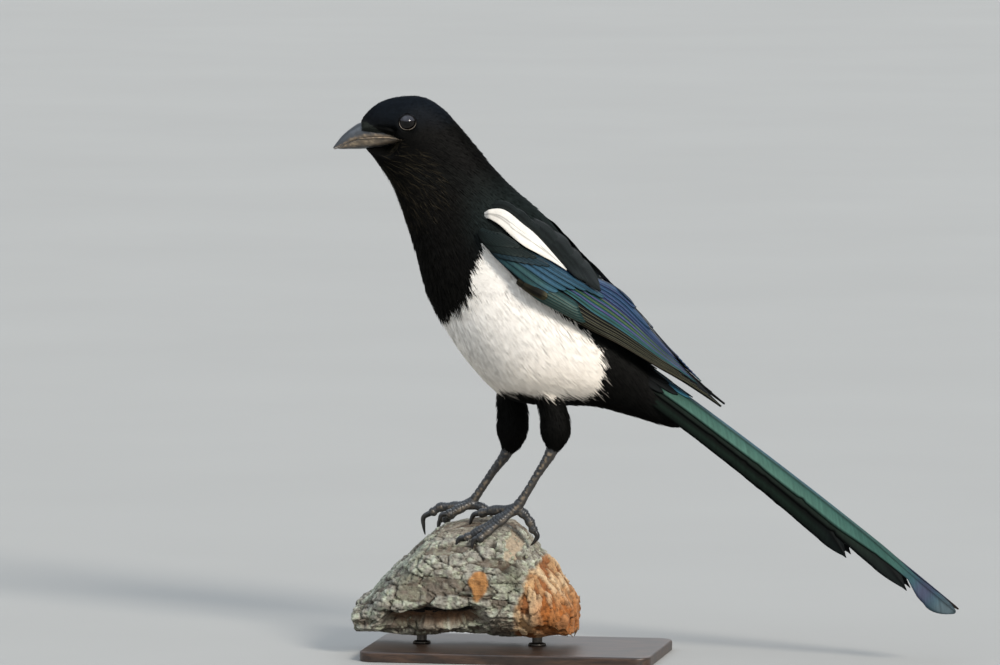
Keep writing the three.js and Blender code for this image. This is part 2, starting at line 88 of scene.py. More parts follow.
def outlineDistance(points, outline):  # distance to a closed outline, negative inside it
    p = np.asarray(points, float)
    o = np.asarray(outline, float)
    best = np.full(len(p), 1e9)
    inside = np.zeros(len(p), bool)
    for a, b in zip(o, np.roll(o, -1, axis=0)):
        ab = b - a
        t = np.clip(((p - a) @ ab) / max(ab @ ab, 1e-9), 0, 1)
        best = np.minimum(best, np.linalg.norm(p - a - t[:, None] * ab, axis=1))
        crosses = (a[1] > p[:, 1]) != (b[1] > p[:, 1])
        at = a[0] + (p[:, 1] - a[1]) * ab[0] / (ab[1] if abs(ab[1]) > 1e-9 else 1e-9)
        inside ^= crosses & (p[:, 0] < at)
    return np.where(inside, -best, best)


def colour(text):  # a screen colour such as "5f9a83" as linear light
    c = np.array([int(text[i:i + 2], 16) / 255 for i in (0, 2, 4)])
    return np.where(c <= 0.04045, c / 12.92, ((c + 0.055) / 1.055) ** 2.4)


def paint(piece, tint, material=None, marks=None):  # a colour for each point, further marks, and the finish
    mesh = piece.data
    if tint is not None:
        values = np.ones((len(mesh.vertices), 4), np.float32)
        values[:, :3] = tint
        mesh.color_attributes.new("tint", "FLOAT_COLOR", "POINT").data.foreach_set("color", values.ravel())
    for key, mark in (marks or {}).items():
        mesh.attributes.new(key, "FLOAT", "POINT").data.foreach_set("value", np.asarray(mark, np.float32))
    if material is not None:
        mesh.materials.clear()
        mesh.materials.append(material)
    return piece


def makePiece(name, points, faces, material, tint=None, patch=None, normals=None, marks=None, smooth=True):
    # faces: arrays of 3 or 4 corners; patch: a place on the bake map for each point, or for each corner
    points = np.asarray(points, float)
    faces = [f for f in (faces if isinstance(faces, list) else [faces]) if len(f)]
    corners = np.concatenate([f.ravel() for f in faces]).astype(np.int32)
    sizes = np.concatenate([np.full(len(f), f.shape[1]) for f in faces])
    mesh = bpy.data.meshes.new(name)
    mesh.vertices.add(len(points))
    mesh.vertices.foreach_set("co", (points * 0.001).ravel().astype(np.float32))
    mesh.loops.add(len(corners))
    mesh.loops.foreach_set("vertex_index", corners)
    mesh.polygons.add(len(sizes))
    mesh.polygons.foreach_set("loop_start", (np.cumsum(sizes) - sizes).astype(np.int32))
    mesh.polygons.foreach_set("use_smooth", np.full(len(sizes), smooth))
    mesh.update(calc_edges=True)
    mesh.validate()
    piece = bpy.data.objects.new(name, mesh)
    scene.collection.objects.link(piece)
    paint(piece, tint, material, marks)
    if patch is not None:
        patch = np.asarray(patch, np.float32)
        patch = patch if len(patch) == len(corners) else patch[corners]
        mesh.uv_layers.new(name="OFBake").data.foreach_set("uv", patch.ravel())
    if normals is not None:
        mesh.normals_split_custom_set_from_vertices(unit(normals).astype(np.float32))
    return piece


def gridFaces(rows, cols, closed=False, looped=False):
    # quads between rings of points; closed joins each ring's ends, looped joins the last ring to the first
    r, c = np.arange(rows if looped else rows - 1), np.arange(cols if closed else cols - 1)
    r, c = (g.ravel() for g in np.meshgrid(r, c, indexing="ij"))
    d, e = (c + 1) % cols, (r + 1) % rows
    return np.stack([r * cols + c, r * cols + d, e * cols + d, e * cols + c], axis=1)


def fanCaps(count, sides):  # two more points, after the first `count`, close the first ring and the last one
    k = np.arange(sides)
    d = (k + 1) % sides
    return np.concatenate([np.stack([np.full(sides, count), d, k], axis=1),
                           np.stack([np.full(sides, count + 1), count - sides + k, count - sides + d], axis=1)])


def outward(points, faces, inside):  # each set of faces, pointing away from `inside`: a point, or one for each point
    out = []
    for f in faces:
        a, b, c = (points[f[:, k]] for k in range(3))
        middle = inside if np.ndim(inside) == 1 else inside[f[:, 0]]
        way = (np.cross(b - a, c - a) * (a - middle)).sum(axis=1)
        out.append(f[:, ::-1] if np.median(way) < 0 else f)
    return out


def ringTo(sides):  # the angles round a ring
    return np.arange(sides) / sides * 2 * np.pi


def tubeMesh(path, radii, sides=16):  # a closed tube through a path, with rounded ends
    path, radii = np.asarray(path, float), np.asarray(radii, float)
    ends = []
    for p, q, r in ((path[0], path[1], radii[0]), (path[-1], path[-2], radii[-1])):
        out = unit(p - q)
        ends.append([(p + out * r * math.sin(a), r * math.cos(a)) for a in (0.5, 1.0, 1.4)])
    path = np.array([p for p, _ in ends[0][::-1]] + list(path) + [p for p, _ in ends[1]])
    radii = np.array([r for _, r in ends[0][::-1]] + list(radii) + [r for _, r in ends[1]])
    along = unit(np.gradient(path, axis=0))
    side = unit(np.cross(along, [0.31, 0.12, 0.9]))
    for i in range(1, len(side)):  # carried along without twisting
        side[i] = unit(side[i - 1] - along[i] * (side[i - 1] @ along[i]))
    up = np.cross(side, along)
    a = ringTo(sides)[None, :, None]
    rings = path[:, None] + (np.cos(a) * side[:, None] + np.sin(a) * up[:, None]) * radii[:, None, None]
    points = rings.reshape(-1, 3)
    caps = fanCaps(len(points), sides)
    return np.concatenate([points, path[:1], path[-1:]]), gridFaces(len(path), sides, closed=True), caps


def joinMeshes(parts):  # several (points, quads, triangles) as one
    points, quads, caps, at = [], [], [], 0
    for p, q, c in parts:
        points.append(p)
        quads.append(q + at)
        caps.append(c + at)
        at += len(p)
    return np.concatenate(points), np.concatenate(quads), np.concatenate(caps)


def bakedCopy(piece, name=None):  # the piece with its modifiers applied, as a plain mesh
    deps = bpy.context.evaluated_depsgraph_get()
    mesh = bpy.data.meshes.new_from_object(piece.evaluated_get(deps))
    mesh.name = name or piece.name
    for modifier in list(piece.modifiers):
        piece.modifiers.remove(modifier)
    old, piece.data = piece.data, mesh
    bpy.data.meshes.remove(old)
    return piece


def remeshed(piece, voxel, rounds=0, factor=0.5):  # one closed skin from overlapping closed shapes
    modifier = piece.modifiers.new("remesh", "REMESH")
    modifier.mode = "VOXEL"
    modifier.voxel_size = voxel * 0.001
    modifier.use_smooth_shade = True
    if rounds:
        modifier = piece.modifiers.new("smooth", "SMOOTH")
        modifier.factor, modifier.iterations = factor, rounds
    return bakedCopy(piece)


def readPoints(mesh):
    out = np.empty(len(mesh.vertices) * 3, np.float32)
    mesh.vertices.foreach_get("co", out)
    return out.reshape(-1, 3).astype(float) * 1000


def readNormals(mesh):
    out = np.empty(len(mesh.vertices) * 3, np.float32)
    mesh.vertex_normals.foreach_get("vector", out)
    return out.reshape(-1, 3).astype(float)


def writePoints(mesh, points):
    mesh.vertices.foreach_set("co", (np.asarray(points) * 0.001).ravel().astype(np.float32))
    mesh.update()


def readFaces(mesh):  # every face as triangles
    mesh.calc_loop_triangles()
    out = np.empty(len(mesh.loop_triangles) * 3, np.int32)
    mesh.loop_triangles.foreach_get("vertices", out)
    return out.reshape(-1, 3)


neckAt = -38  # the y of the neck's pivot, as in the CAD source


def turned(points, degrees):  # about the neck's pivot, as the CAD source turns the head
    p = np.asarray(points, float)
    a = np.radians(degrees)
    x, y = p[..., 0], p[..., 1] - neckAt
    return np.stack([x * np.cos(a) - y * np.sin(a), neckAt + x * np.sin(a) + y * np.cos(a), p[..., 2]], axis=-1)


def turnedWay(ways, degrees):  # a direction turned with the head
    pivot = np.array([0, neckAt, 0])
    return turned(ways + pivot, degrees) - pivot


def declare(piece, slot, *nodes):
    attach(piece, "root")
    if nodes:
        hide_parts(*nodes)
    return piece


view = {"azimuth": 100, "elevation": 5, "right": -0.0058, "up": 0.18705, "distance": 5.0, "lens": 310.3}


def wayFrom(azimuth, elevation):  # the direction from the bird towards a camera or lamp
    a, e = math.radians(azimuth), math.radians(elevation)
    return Vector((math.sin(a) * math.cos(e), -math.cos(a) * math.cos(e), math.sin(e)))


def placeCamera():
    back = wayFrom(view["azimuth"], view["elevation"])
    right = wayFrom(view["azimuth"] + 90, 0)
    up = back.cross(right)
    data = bpy.data.cameras.new("camera")
    data.lens, data.sensor_width = view["lens"], 36
    data.clip_start, data.clip_end = 0.1, 60
    camera = bpy.data.objects.new("camera", data)
    camera.location = right * view["right"] + up * view["up"] + back * view["distance"]
    camera.rotation_euler = back.to_track_quat("Z", "Y").to_euler()
    scene.collection.objects.link(camera)
    scene.camera = camera


studio = [  # where each broad lamp stands (azimuth, elevation), how wide it looks, its strength and colour
    {"name": "lowWarmKey", "from": (136, 28), "wide": 16, "power": 3.7, "colour": (1, 0.94, 0.86)},
    {"name": "skyFill", "from": (48, 55), "wide": 50, "power": 0.6, "colour": (0.78, 0.88, 1)},
    {"name": "backRim", "from": (268, 44), "wide": 40, "power": 0.8, "colour": (0.93, 0.96, 1)},
]
room = {"horizon": (0.50, 0.50, 0.485), "above": (0.74, 0.84, 0.98)}


def placeLights():
    for lamp in studio:
        out = wayFrom(*lamp["from"])
        data = bpy.data.lights.new(lamp["name"], "SUN")
        data.angle = math.radians(lamp["wide"])
        data.energy, data.color = lamp["power"], lamp["colour"]
        light = bpy.data.objects.new(lamp["name"], data)
        light.location = out * 3
        light.rotation_euler = out.to_track_quat("Z", "Y").to_euler()
        scene.collection.objects.link(light)
    world = bpy.data.worlds.new("room")
    world.use_nodes = True
    tree = world.node_tree
    way = tree.nodes.new("ShaderNodeSeparateXYZ")
    tree.links.new(tree.nodes.new("ShaderNodeTexCoord").outputs["Generated"], way.inputs[0])
    sky = tree.nodes.new("ShaderNodeValToRGB")
    for element, place, key in zip(sky.color_ramp.elements, (0.12, 0.85), ("horizon", "above")):
        element.position, element.color = place, (*room[key], 1)
    tree.links.new(way.outputs["Z"], sky.inputs[0])
    tree.links.new(sky.outputs[0], tree.nodes["Background"].inputs["Color"])
    scene.world = world
    scene.view_settings.view_transform = "Standard"


floorReach = 60000


def placeFloor():
    side = np.linspace(-floorReach, floorReach, 24)
    points = np.array([[x, y, 0.0] for y in side for x in side])
    floor = makePiece("floor", points, gridFaces(len(side), len(side)), paleFloor())


def newMaterial(name, **fixed):  # an empty material with its shader; fixed values go on the shader's own sockets
    material = bpy.data.materials.new(name)
    material.use_nodes = True
    tree = material.node_tree
    tree.nodes.clear()
    out = tree.nodes.new("ShaderNodeOutputMaterial")
    shader = tree.nodes.new("ShaderNodeBsdfPrincipled")
    tree.links.new(shader.outputs["BSDF"], out.inputs["Surface"])
    for key, value in fixed.items():
        shader.inputs[key.replace("_", " ")].default_value = value
    return material, tree, shader


def node(tree, kind, **values):  # a node; values are properties, numbers for its inputs, or links
    made = tree.nodes.new("ShaderNode" + kind)
    for key, value in values.items():
        if hasattr(made, key) and key not in made.inputs:
            setattr(made, key, value)
    for key, value in values.items():
        key = int(key[1:]) if key[0] == "i" and key[1:].isdigit() else key.replace("_", " ")
        if isinstance(key, int) or key in made.inputs:
            if isinstance(value, bpy.types.NodeSocket):
                tree.links.new(value, made.inputs[key])
            elif not isinstance(value, str):
                made.inputs[key].default_value = value
    return made


def rgba(text):
    return (*[float(v) for v in colour(text)], 1.0)


def blendColours(tree, factor, a, b, mode="MIX"):  # colours a and b by a mask
    made = tree.nodes.new("ShaderNodeMix")
    made.data_type, made.blend_type, made.clamp_factor = "RGBA", mode, True
    for index, value in ((0, factor), (6, a), (7, b)):
        if isinstance(value, bpy.types.NodeSocket):
            tree.links.new(value, made.inputs[index])
        else:
            made.inputs[index].default_value = rgba(value) if isinstance(value, str) else value
    return made.outputs[2]


def colourSteps(tree, factor, stops):  # a ramp of (place, colour) stops
    made = tree.nodes.new("ShaderNodeValToRGB")
    elements = made.color_ramp.elements
    while len(elements) < len(stops):
        elements.new(0.5)
    for element, (place, value) in zip(elements, stops):
        element.position = place
        element.color = rgba(value) if isinstance(value, str) else (value, value, value, 1)
    tree.links.new(factor, made.inputs[0])
    return made.outputs[0]


def bump(tree, height, strength, distance, before=None):
    made = tree.nodes.new("ShaderNodeBump")
    made.inputs["Strength"].default_value = strength
    made.inputs["Distance"].default_value = distance * 0.001
    tree.links.new(height, made.inputs["Height"])
    if before is not None:
        tree.links.new(before, made.inputs["Normal"])
    return made.outputs["Normal"]


def newGroup(name, inputs, outputs):  # a shader node group with named sockets
    tree = bpy.data.node_groups.new(name, "ShaderNodeTree")
    for label, kind, value in inputs:
        socket = tree.interface.new_socket(name=label, in_out="INPUT", socket_type="NodeSocket" + kind)
        if value is not None:
            socket.default_value = value
    for label, kind in outputs:
        tree.interface.new_socket(name=label, in_out="OUTPUT", socket_type="NodeSocket" + kind)
    return tree, tree.nodes.new("NodeGroupInput"), tree.nodes.new("NodeGroupOutput")


def useGroup(tree, group, **values):
    made = tree.nodes.new("ShaderNodeGroup")
    made.node_tree = group
    for key, value in values.items():
        if isinstance(value, bpy.types.NodeSocket):
            tree.links.new(value, made.inputs[key])
        else:
            made.inputs[key].default_value = value
    return made.outputs


bodyStations = [  # y, z, half depth, half width, tilt, turn: rings from the face to under the tail
    (-85.5, 301.9, 9.1, 8.6, 99, 10), (-80.6, 303.4, 14.1, 11.6, 92, 10), (-74.7, 303.2, 19.1, 14.2, 85, 10),
    (-67.3, 301.7, 23.6, 16.2, 77, 10), (-59.4, 298.2, 27.5, 17.4, 70, 10), (-52.5, 291.1, 29.8, 18, 64, 9),
    (-46.4, 282, 30.7, 18.6, 58, 7), (-40.3, 272, 32, 20, 52, 5), (-33.2, 260, 33.5, 22.8, 45, 3),
    (-25.4, 247.9, 36.6, 26.5, 40, 1), (-16.6, 235.3, 41.3, 30.5, 36.5, 0), (-7.5, 222.6, 43.8, 33.5, 33, 0),
    (3.5, 207.6, 45.5, 35.5, 31.5, 0), (16.2, 192.7, 46.5, 36, 34, 0), (29, 177, 42.8, 34.5, 38.5, 0),
    (45.1, 167.2, 32.6, 29.5, 40, 0), (63.3, 160.4, 21.5, 22, 41, 0), (79.2, 151.6, 14.2, 15, 46, 0),
    (93.5, 142.6, 8.4, 10, 52, 0), (101.5, 137.8, 4, 6, 54, 0)]

legPaths = {  # thigh: x, y, z, radius; tarsus the same; toes: x, y, z; claws: from, to
    "left": {
        "thigh": [(15, 26.5, 160, 8.6), (15, 27.6, 146, 8.4), (15, 28.9, 138.5, 9), (15, 29.2, 132.7, 9.5),
                  (15, 28.9, 127.5, 7.9), (15.2, 28.2, 123.3, 4.9), (15.3, 27.3, 121.2, 3.5)],
        "tarsus": [(15, 28.6, 134, 2.6), (15.3, 27.1, 121, 2.9), (15.4, 19, 107.4, 2.1), (15.5, 10.9, 93.9, 2.2),
                   (15.5, 6.2, 87.2, 3.1)],
        "toes": {"inner": [(15, 5, 86.8), (9, -7.2, 85.2), (4.6, -15.6, 83), (3.7, -20.6, 81.8), (3.2, -23, 75)],
                 "middle": [(15.5, 5, 86.4), (17, -4.1, 80.6), (19, -15.5, 73.6), (19.6, -21.3, 70.4),
                            (20, -26, 69.6), (20.2, -27.9, 64.6)],
                 "outer": [(16, 5, 86.2), (19.5, -1.6, 80.6), (23, -9.2, 74.2), (24.4, -12.9, 70.9),
                           (25.2, -16.6, 69.8), (25.6, -17.6, 64.6)],
                 "hind": [(15.3, 5, 86.6), (14.6, 10.4, 84.2), (14, 14.2, 79.2), (13.8, 15.9, 75.2),
                          (13.6, 18.4, 71.2), (13.4, 14.6, 65.8)]}},
    "right": {
        "thigh": [(-16, -2.5, 162, 9), (-16, -2.2, 147, 8.6), (-16, -1.3, 138, 9.6), (-16, -1.5, 129, 9.8),
                  (-16, -2.2, 122.6, 7.4), (-16, -3.6, 118.6, 4.8), (-16, -4.6, 116.8, 3.5)],
        "tarsus": [(-16, -2.2, 130, 2.6), (-16, -4.4, 117, 2.9), (-16.2, -13.5, 104.2, 2.1),
                   (-16.3, -22.6, 90.7, 2.2), (-16.4, -26.4, 85.8, 3.1)],
        "toes": {"inner": [(-15.6, -27, 85.6), (-11, -32.8, 83), (-8, -37, 80.8), (-6.6, -41.4, 80.2),
                           (-6.2, -43, 74)],
                 "middle": [(-16.4, -27.4, 85.8), (-17, -35.4, 84.2), (-18, -43.8, 83.4), (-18, -48.4, 80.8),
                            (-18.2, -54.2, 77.4), (-18.2, -53.4, 67.4)],
                 "outer": [(-17, -27, 85.6), (-22, -33.4, 82.4), (-26, -39.4, 78.4), (-27.6, -42.4, 75.6),
                           (-28.8, -46.4, 74.4), (-29.2, -47.6, 68.6)],
                 "hind": [(-16, -25.4, 85.6), (-15.4, -19.6, 84), (-15, -13.6, 81.8), (-14.8, -8.6, 81.6),
                          (-14.6, -6, 77.4)]}}}

eyes = {"place": (11.7, -59.7, 309.9), "radius": 5.6, "turn": 10}


def eyeCentre(side):
    x, y, z = eyes["place"]
    return turned(np.array([side * x, y, z]), eyes["turn"])


def eyeAxis(side):
    return unit(turnedWay(np.array([side * 1.0, 0, 0]), eyes["turn"]))


def bodyPoint(u, angle, inset=0.0):  # a point of the body: u along the stations, angle from the back
    row = alongTable(bodyStations, u)
    y, z, depth, width, tilt, turn = (row[..., k] for k in range(6))
    power = lambda v: np.sign(v) * np.abs(v) ** (2 / 2.15)
    rise = power(np.cos(angle)) * np.maximum(depth - inset, 0.5)
    side = power(np.sin(angle)) * np.maximum(width - inset, 0.5)
    tilt = np.radians(tilt)
    return turned(np.stack([side, y + np.cos(tilt) * rise, z + np.sin(tilt) * rise], axis=-1), turn)


def spineLie(u):  # the way the feathers lie: down the spine
    row = alongTable(bodyStations, u)
    tilt, turn = np.radians(row[..., 4]), row[..., 5]
    ahead = np.stack([np.zeros_like(tilt), np.sin(tilt), -np.cos(tilt)], axis=-1)
    return turnedWay(ahead, turn)


coat = {"face": 0.9, "neck": 2.0, "body": 2.7, "thigh": 1.7, "voxel": 1.1}  # how deep the coat lies
lastRing = 19


def coatDepth(u):
    face, neck, body = coat["face"], coat["neck"], coat["body"]
    return np.interp(u, [0, 2, 4, 7, 9.5, 15, lastRing], [face, face, 1.1, neck, body, body, 1.4])


def bodyGrid(step, sides, inset):  # rings of points of the body, and each point's (ring, angle)
    rings = np.arange(0, lastRing + 0.01, step)
    u, a = (g.ravel() for g in np.meshgrid(rings, ringTo(sides), indexing="ij"))
    return len(rings), u, a, bodyPoint(u, a, inset(u))


bareBill = {"top": (304.6, 303.2, 300.9), "slope": 2.2, "sunk": 0.9}  # where the bill shows beside the face
billWide = ([-93, -87, -80, -72, -64], [4.8, 6.1, 7.4, 8.8, 10.4])


def headMoves(points, normals):  # brow, lores, cheek and the dish that holds the eye
    straight = turned(points, -eyes["turn"])
    shift = np.zeros(len(points))
    # y, z, how wide, how tall, how far out
    moves = [(-60.5, 317.2, 6.5, 2.6, 0.9), (-71.5, 308.5, 5.0, 4.5, -0.8), (-55.5, 301.0, 7.0, 5.5, 0.9),
             (-63.5, 303.8, 6.0, 2.4, -0.5), (-52.0, 311.5, 4.0, 4.0, -0.3)]
    onSide = ramp(np.abs(straight[:, 0]), 4, 9) * (points[:, 2] > 270)
    for y, z, wide, tall, push in moves:
        away = ((straight[:, 1] - y) / wide) ** 2 + ((straight[:, 2] - z) / tall) ** 2
        shift += push * np.exp(-away) * onSide
    out = points + normals * shift[:, None]
    for side in (1, -1):
        centre, axis = eyeCentre(side), eyeAxis(side)
        rel = out - centre
        high = rel @ axis
        away = np.linalg.norm(rel - high[:, None] * axis, axis=1)
        near = (high > 0) & (away < 9)
        dish = np.interp(away, [0, 4.4, 5.4, 7.5, 9], [1.2, 1.6, 3.9, 4.6, 9])
        lower = np.where(near, np.maximum(high - dish, 0) * ramp(9 - away, 0, 3), 0)
        out = out - axis * lower[:, None]
    # the sides of the face are drawn in where the bill is bare, so the bill's own side shows
    straight = turned(out, -eyes["turn"])
    y, z = straight[:, 1], straight[:, 2]
    above = np.interp(y, [-88, -75.5, -64], bareBill["top"])
    below = np.interp(y, [-88, -70, -66, -63], [293.4, 295.2, 298.0, 300.2])
    wide = np.interp(y, *billWide)
    edge = np.interp(y, [-87, -80, -72, -64], [300.2, 300.9, 301.1, 300.5])
    tall = np.where(z > edge, np.interp(y, [-87, -64], [8.8, 4.5]), edge - below)
    bulge = np.sqrt(np.maximum(1 - ((z - edge) / tall) ** 2, 0))
    off = np.maximum(np.maximum(z - above, below - z), 0)
    limit = np.maximum(wide * bulge - bareBill["sunk"], 0.6) + off * bareBill["slope"]
    limit = limit + np.maximum(y + 66.5, 0) * 3
    x = np.where((y < -60) & (np.abs(straight[:, 0]) > limit), np.sign(straight[:, 0]) * limit, straight[:, 0])
    straight[:, 0] = np.where(z > 285, x, straight[:, 0])
    return turned(straight, eyes["turn"])


def makeForm():  # the skin: body and thighs in one closed surface, inside the coat
    sides = 88
    rings, _, _, points = bodyGrid(0.1, sides, coatDepth)
    ends = [points[:sides].mean(axis=0), points[-sides:].mean(axis=0)]
    caps = fanCaps(len(points), sides)[:, ::-1]
    body = (np.concatenate([points, ends]), gridFaces(rings, sides, True)[:, ::-1], caps)
    thighs = []
    for leg in legPaths.values():
        rows = alongTable(leg["thigh"], np.linspace(0, 6, 40))
        thighs.append(tubeMesh(rows[:, :3], np.maximum(rows[:, 3] - coat["thigh"], 2.2), 32))
    points, quads, caps = joinMeshes([body] + thighs)
    piece = makePiece("skin", points, [quads, caps], None)
    remeshed(piece, coat["voxel"], 6)
    moved = headMoves(readPoints(piece.data), readNormals(piece.data))
    writePoints(piece.data, moved)
    return piece


class Surface:  # a mesh that feathers lie on: nearest point, normal, lie and place on the coat's map
    def __init__(self, points, faces, lie, place):
        self.points, self.faces, self.lie, self.place = points, faces, lie, place
        self.tree = BVHTree.FromPolygons([tuple(p) for p in points], [tuple(f) for f in faces.tolist()])
        a, b, c = (points[faces[:, k]] for k in range(3))
        cross = np.cross(b - a, c - a)
        self.area = np.linalg.norm(cross, axis=1) / 2
        normals = np.zeros_like(points)
        for k in range(3):
            np.add.at(normals, faces[:, k], cross)
        self.normals = unit(normals)

    def nearest(self, points):  # face index and closest point for each point
        found = [self.tree.find_nearest(p) for p in points.tolist()]
        return np.array([f[2] for f in found]), np.array([tuple(f[0]) for f in found])

    def blend(self, values, index, at):  # a vertex value at points of faces
        f = self.faces[index]
        a, b, c = (self.points[f[:, k]] for k in range(3))
        v0, v1, v2 = b - a, c - a, at - a
        d00, d01, d11 = (v0 * v0).sum(1), (v0 * v1).sum(1), (v1 * v1).sum(1)
        d20, d21 = (v2 * v0).sum(1), (v2 * v1).sum(1)
        low = np.maximum(d00 * d11 - d01 * d01, 1e-12)
        wb = np.clip((d11 * d20 - d01 * d21) / low, 0, 1)
        wc = np.clip((d00 * d21 - d01 * d20) / low, 0, 1)
        wa = 1 - wb - wc
        return values[f[:, 0]] * wa[:, None] + values[f[:, 1]] * wb[:, None] + values[f[:, 2]] * wc[:, None]


def pointTree(points):  # for finding the nearest of many points
    tree = KDTree(len(points))
    for i, p in enumerate(np.asarray(points).tolist()):
        tree.insert(p, i)
    tree.balance()
    return tree


def formSurface(piece):  # lie and map place of every point of the skin, from the nearest ring or thigh
    points, faces = readPoints(piece.data), readFaces(piece.data)
    _, u, a, body = bodyGrid(0.25, 48, coatDepth)
    samples = [body]
    lies = [spineLie(u)]
    places = [np.stack([0.02 + 0.96 * a / (2 * np.pi), 0.02 + 0.74 * u / lastRing], axis=1)]
    kinds = [np.stack([u, a, np.zeros_like(u)], axis=1)]
    for k, leg in enumerate(legPaths.values()):
        t, a2 = (g.ravel() for g in np.meshgrid(np.linspace(1.2, 6, 40), np.linspace(0, 6.1, 20), indexing="ij"))
        rows = alongTable(leg["thigh"], t)
        ahead = unit(alongTable(leg["thigh"], t + 0.05)[:, :3] - alongTable(leg["thigh"], t - 0.05)[:, :3])
        ring = np.stack([np.cos(a2), np.sin(a2), 0 * a2], axis=1)
        samples.append(rows[:, :3] + ring * (rows[:, 3:4] - coat["thigh"]))
        lies.append(ahead)
        places.append(np.stack([0.02 + 0.9 * a2 / 6.2, 0.79 + 0.1 * k + 0.08 * t / 6], axis=1))
        kinds.append(np.stack([t, a2, np.full_like(t, 1 + k)], axis=1))
    samples, lies = np.concatenate(samples), np.concatenate(lies)
    places, kinds = np.concatenate(places), np.concatenate(kinds)
    tree = pointTree(samples)
    nearest = np.array([tree.find(p)[1] for p in points.tolist()])
    surface = Surface(points, faces, lies[nearest], places[nearest])
    surface.kind = kinds[nearest]
    for _ in range(12):  # soften the change of lie between body and thighs
        total, count = np.zeros_like(surface.lie), np.zeros(len(points))
        for i, j in ((0, 1), (1, 2), (2, 0), (1, 0), (2, 1), (0, 2)):
            np.add.at(total, faces[:, i], surface.lie[faces[:, j]])
            np.add.at(count, faces[:, i], 1)
        surface.lie = unit(surface.lie * 0.4 + 0.6 * total / np.maximum(count, 1)[:, None])
    return surface


# the outline of the white belly and flanks in side view (y, z)
whiteBelly = [(-75, 190), (-43.6, 199.5), (-37, 200.9), (-29.7, 205.6), (-23, 211.9), (-19.7, 218.9),
              (-19.2, 224.7), (-17.7, 232.4), (-14.8, 240.2), (-14.3, 246), (-6, 243), (14, 222), (47.9, 193.3),
              (54.9, 183.5), (56.6, 175.7), (55, 164.8), (47.5, 157.5), (42.2, 154.4), (30.7, 149), (24.6, 152.2),
              (15.5, 155.3), (8, 157.7), (-6.4, 159.5), (-20, 150), (-75, 150)]

# colours of the coat; the crown's blue-grey is a painted sky sheen on the top of the head, and the belly's warmer white
# is painted shade low on the belly
shades = {"black": "070706", "paintedCrownSheen": "10151b", "throat": "0d0c0a", "mantle": "161c1b", "white": "fcf7ef",
          "belly": "f4ebde"}


def whiteness(points, rough=1.5, seed=3):  # 1 where the coat is white; the border is ragged by `rough`
    wobble = softNoise(points, 3.0, seed) * rough + softNoise(points, 9.0, seed + 1) * rough * 0.8
    away = outlineDistance(points[:, 1:], whiteBelly) + wobble
    thighs = np.zeros(len(points))
    for leg in legPaths.values():
        path = np.array(leg["thigh"])
        d = np.linalg.norm(points[:, None, :2] - path[None, 2:, :2], axis=2).min(axis=1)
        thighs = np.maximum(thighs, ramp(13 - d, 0, 1.5) * ramp(158 + wobble * 1.5 - points[:, 2], 0, 2))
    return ramp(-away, -0.35, 0.35) * (1 - thighs)


def coatColour(points, rough=1.5):  # the coat's colour at points of the skin
    white = whiteness(points, rough)[:, None]
    black, paintedCrownSheen, mantle = colour(shades["black"]), colour(shades["paintedCrownSheen"]), colour(shades["mantle"])
    y, z = points[:, 1], points[:, 2]
    dark = np.repeat(black[None], len(points), axis=0)
    # painted sheen: the top of the head is painted blue-grey over the black, standing in for the sky's gloss on the
    # crown
    top = ramp(z - (316 - 0.35 * np.abs(points[:, 0])), -6, 6) * (y < -30)
    dark = mix(dark, paintedCrownSheen, top[:, None])
    back = ramp((y + 30) * 0.55 + (z - 250) * 0.83 - 2, -12, 16) * ramp(290 - z, 0, 25)
    dark = mix(dark, mantle, back[:, None])
    throat = ramp(295 - z, 0, 25) * ramp(-15 - y, 0, 20)
    dark = mix(dark, colour(shades["throat"]), throat[:, None])
    # painted shade: the white is painted a darker, warmer tone low on the belly (below z 158), rising to full white by
    # z 205
    pale = mix(colour(shades["belly"]), colour(shades["white"]), ramp(z, 158, 205)[:, None])
    return mix(dark, pale, white)


def paleFloor():
    material, tree, shader = newMaterial("paleFloor", Roughness=0.85)
    place = node(tree, "TexCoord").outputs["Object"]
    grain = node(tree, "TexNoise", Vector=place, Scale=3.0, Detail=4.0).outputs[0]
    tree.links.new(colourSteps(tree, grain, [(0.3, "959490"), (0.7, "989793")]), shader.inputs["Base Color"])
    return material


def mottleGroup():  # soft blotches and fine grain, shared by horn, scales, bark and feathers
    tree, start, end = newGroup("softMottle", [("Place", "Vector", None), ("Size", "Float", 200.0),
                                               ("Grain", "Float", 1200.0), ("Contrast", "Float", 1.0)],
                                [("Mask", "Float"), ("Height", "Float")])
    broad = node(tree, "TexNoise", Vector=start.outputs["Place"], Scale=start.outputs["Size"], Detail=5.0,
                 Roughness=0.6)
    fine = node(tree, "TexNoise", Vector=start.outputs["Place"], Scale=start.outputs["Grain"], Detail=2.0)
    spread = node(tree, "Math", operation="SUBTRACT", i0=broad.outputs[0], i1=0.5)
    raised = node(tree, "Math", operation="MULTIPLY_ADD", i0=spread.outputs[0], i1=start.outputs["Contrast"], i2=0.5)
    both = node(tree, "Math", operation="MULTIPLY_ADD", i0=fine.outputs[0], i1=0.35, i2=raised.outputs[0])
    lower = node(tree, "Math", operation="SUBTRACT", i0=both.outputs[0], i1=0.175)
    tree.links.new(lower.outputs[0], end.inputs["Mask"])
    tree.links.new(both.outputs[0], end.inputs["Height"])
    return tree


def tintAndPlace(tree):  # the colour painted on the points, and the place on the object
    return (node(tree, "VertexColor", layer_name="tint").outputs["Color"], node(tree, "TexCoord").outputs["Object"])


def multiplied(tree, a, b):
    return blendColours(tree, 1.0, a, b, "MULTIPLY")


def linkFinish(tree, shader, base, height, strength, deep):  # a base colour and a bump
    tree.links.new(base, shader.inputs["Base Color"])
    tree.links.new(bump(tree, height, strength, deep), shader.inputs["Normal"])


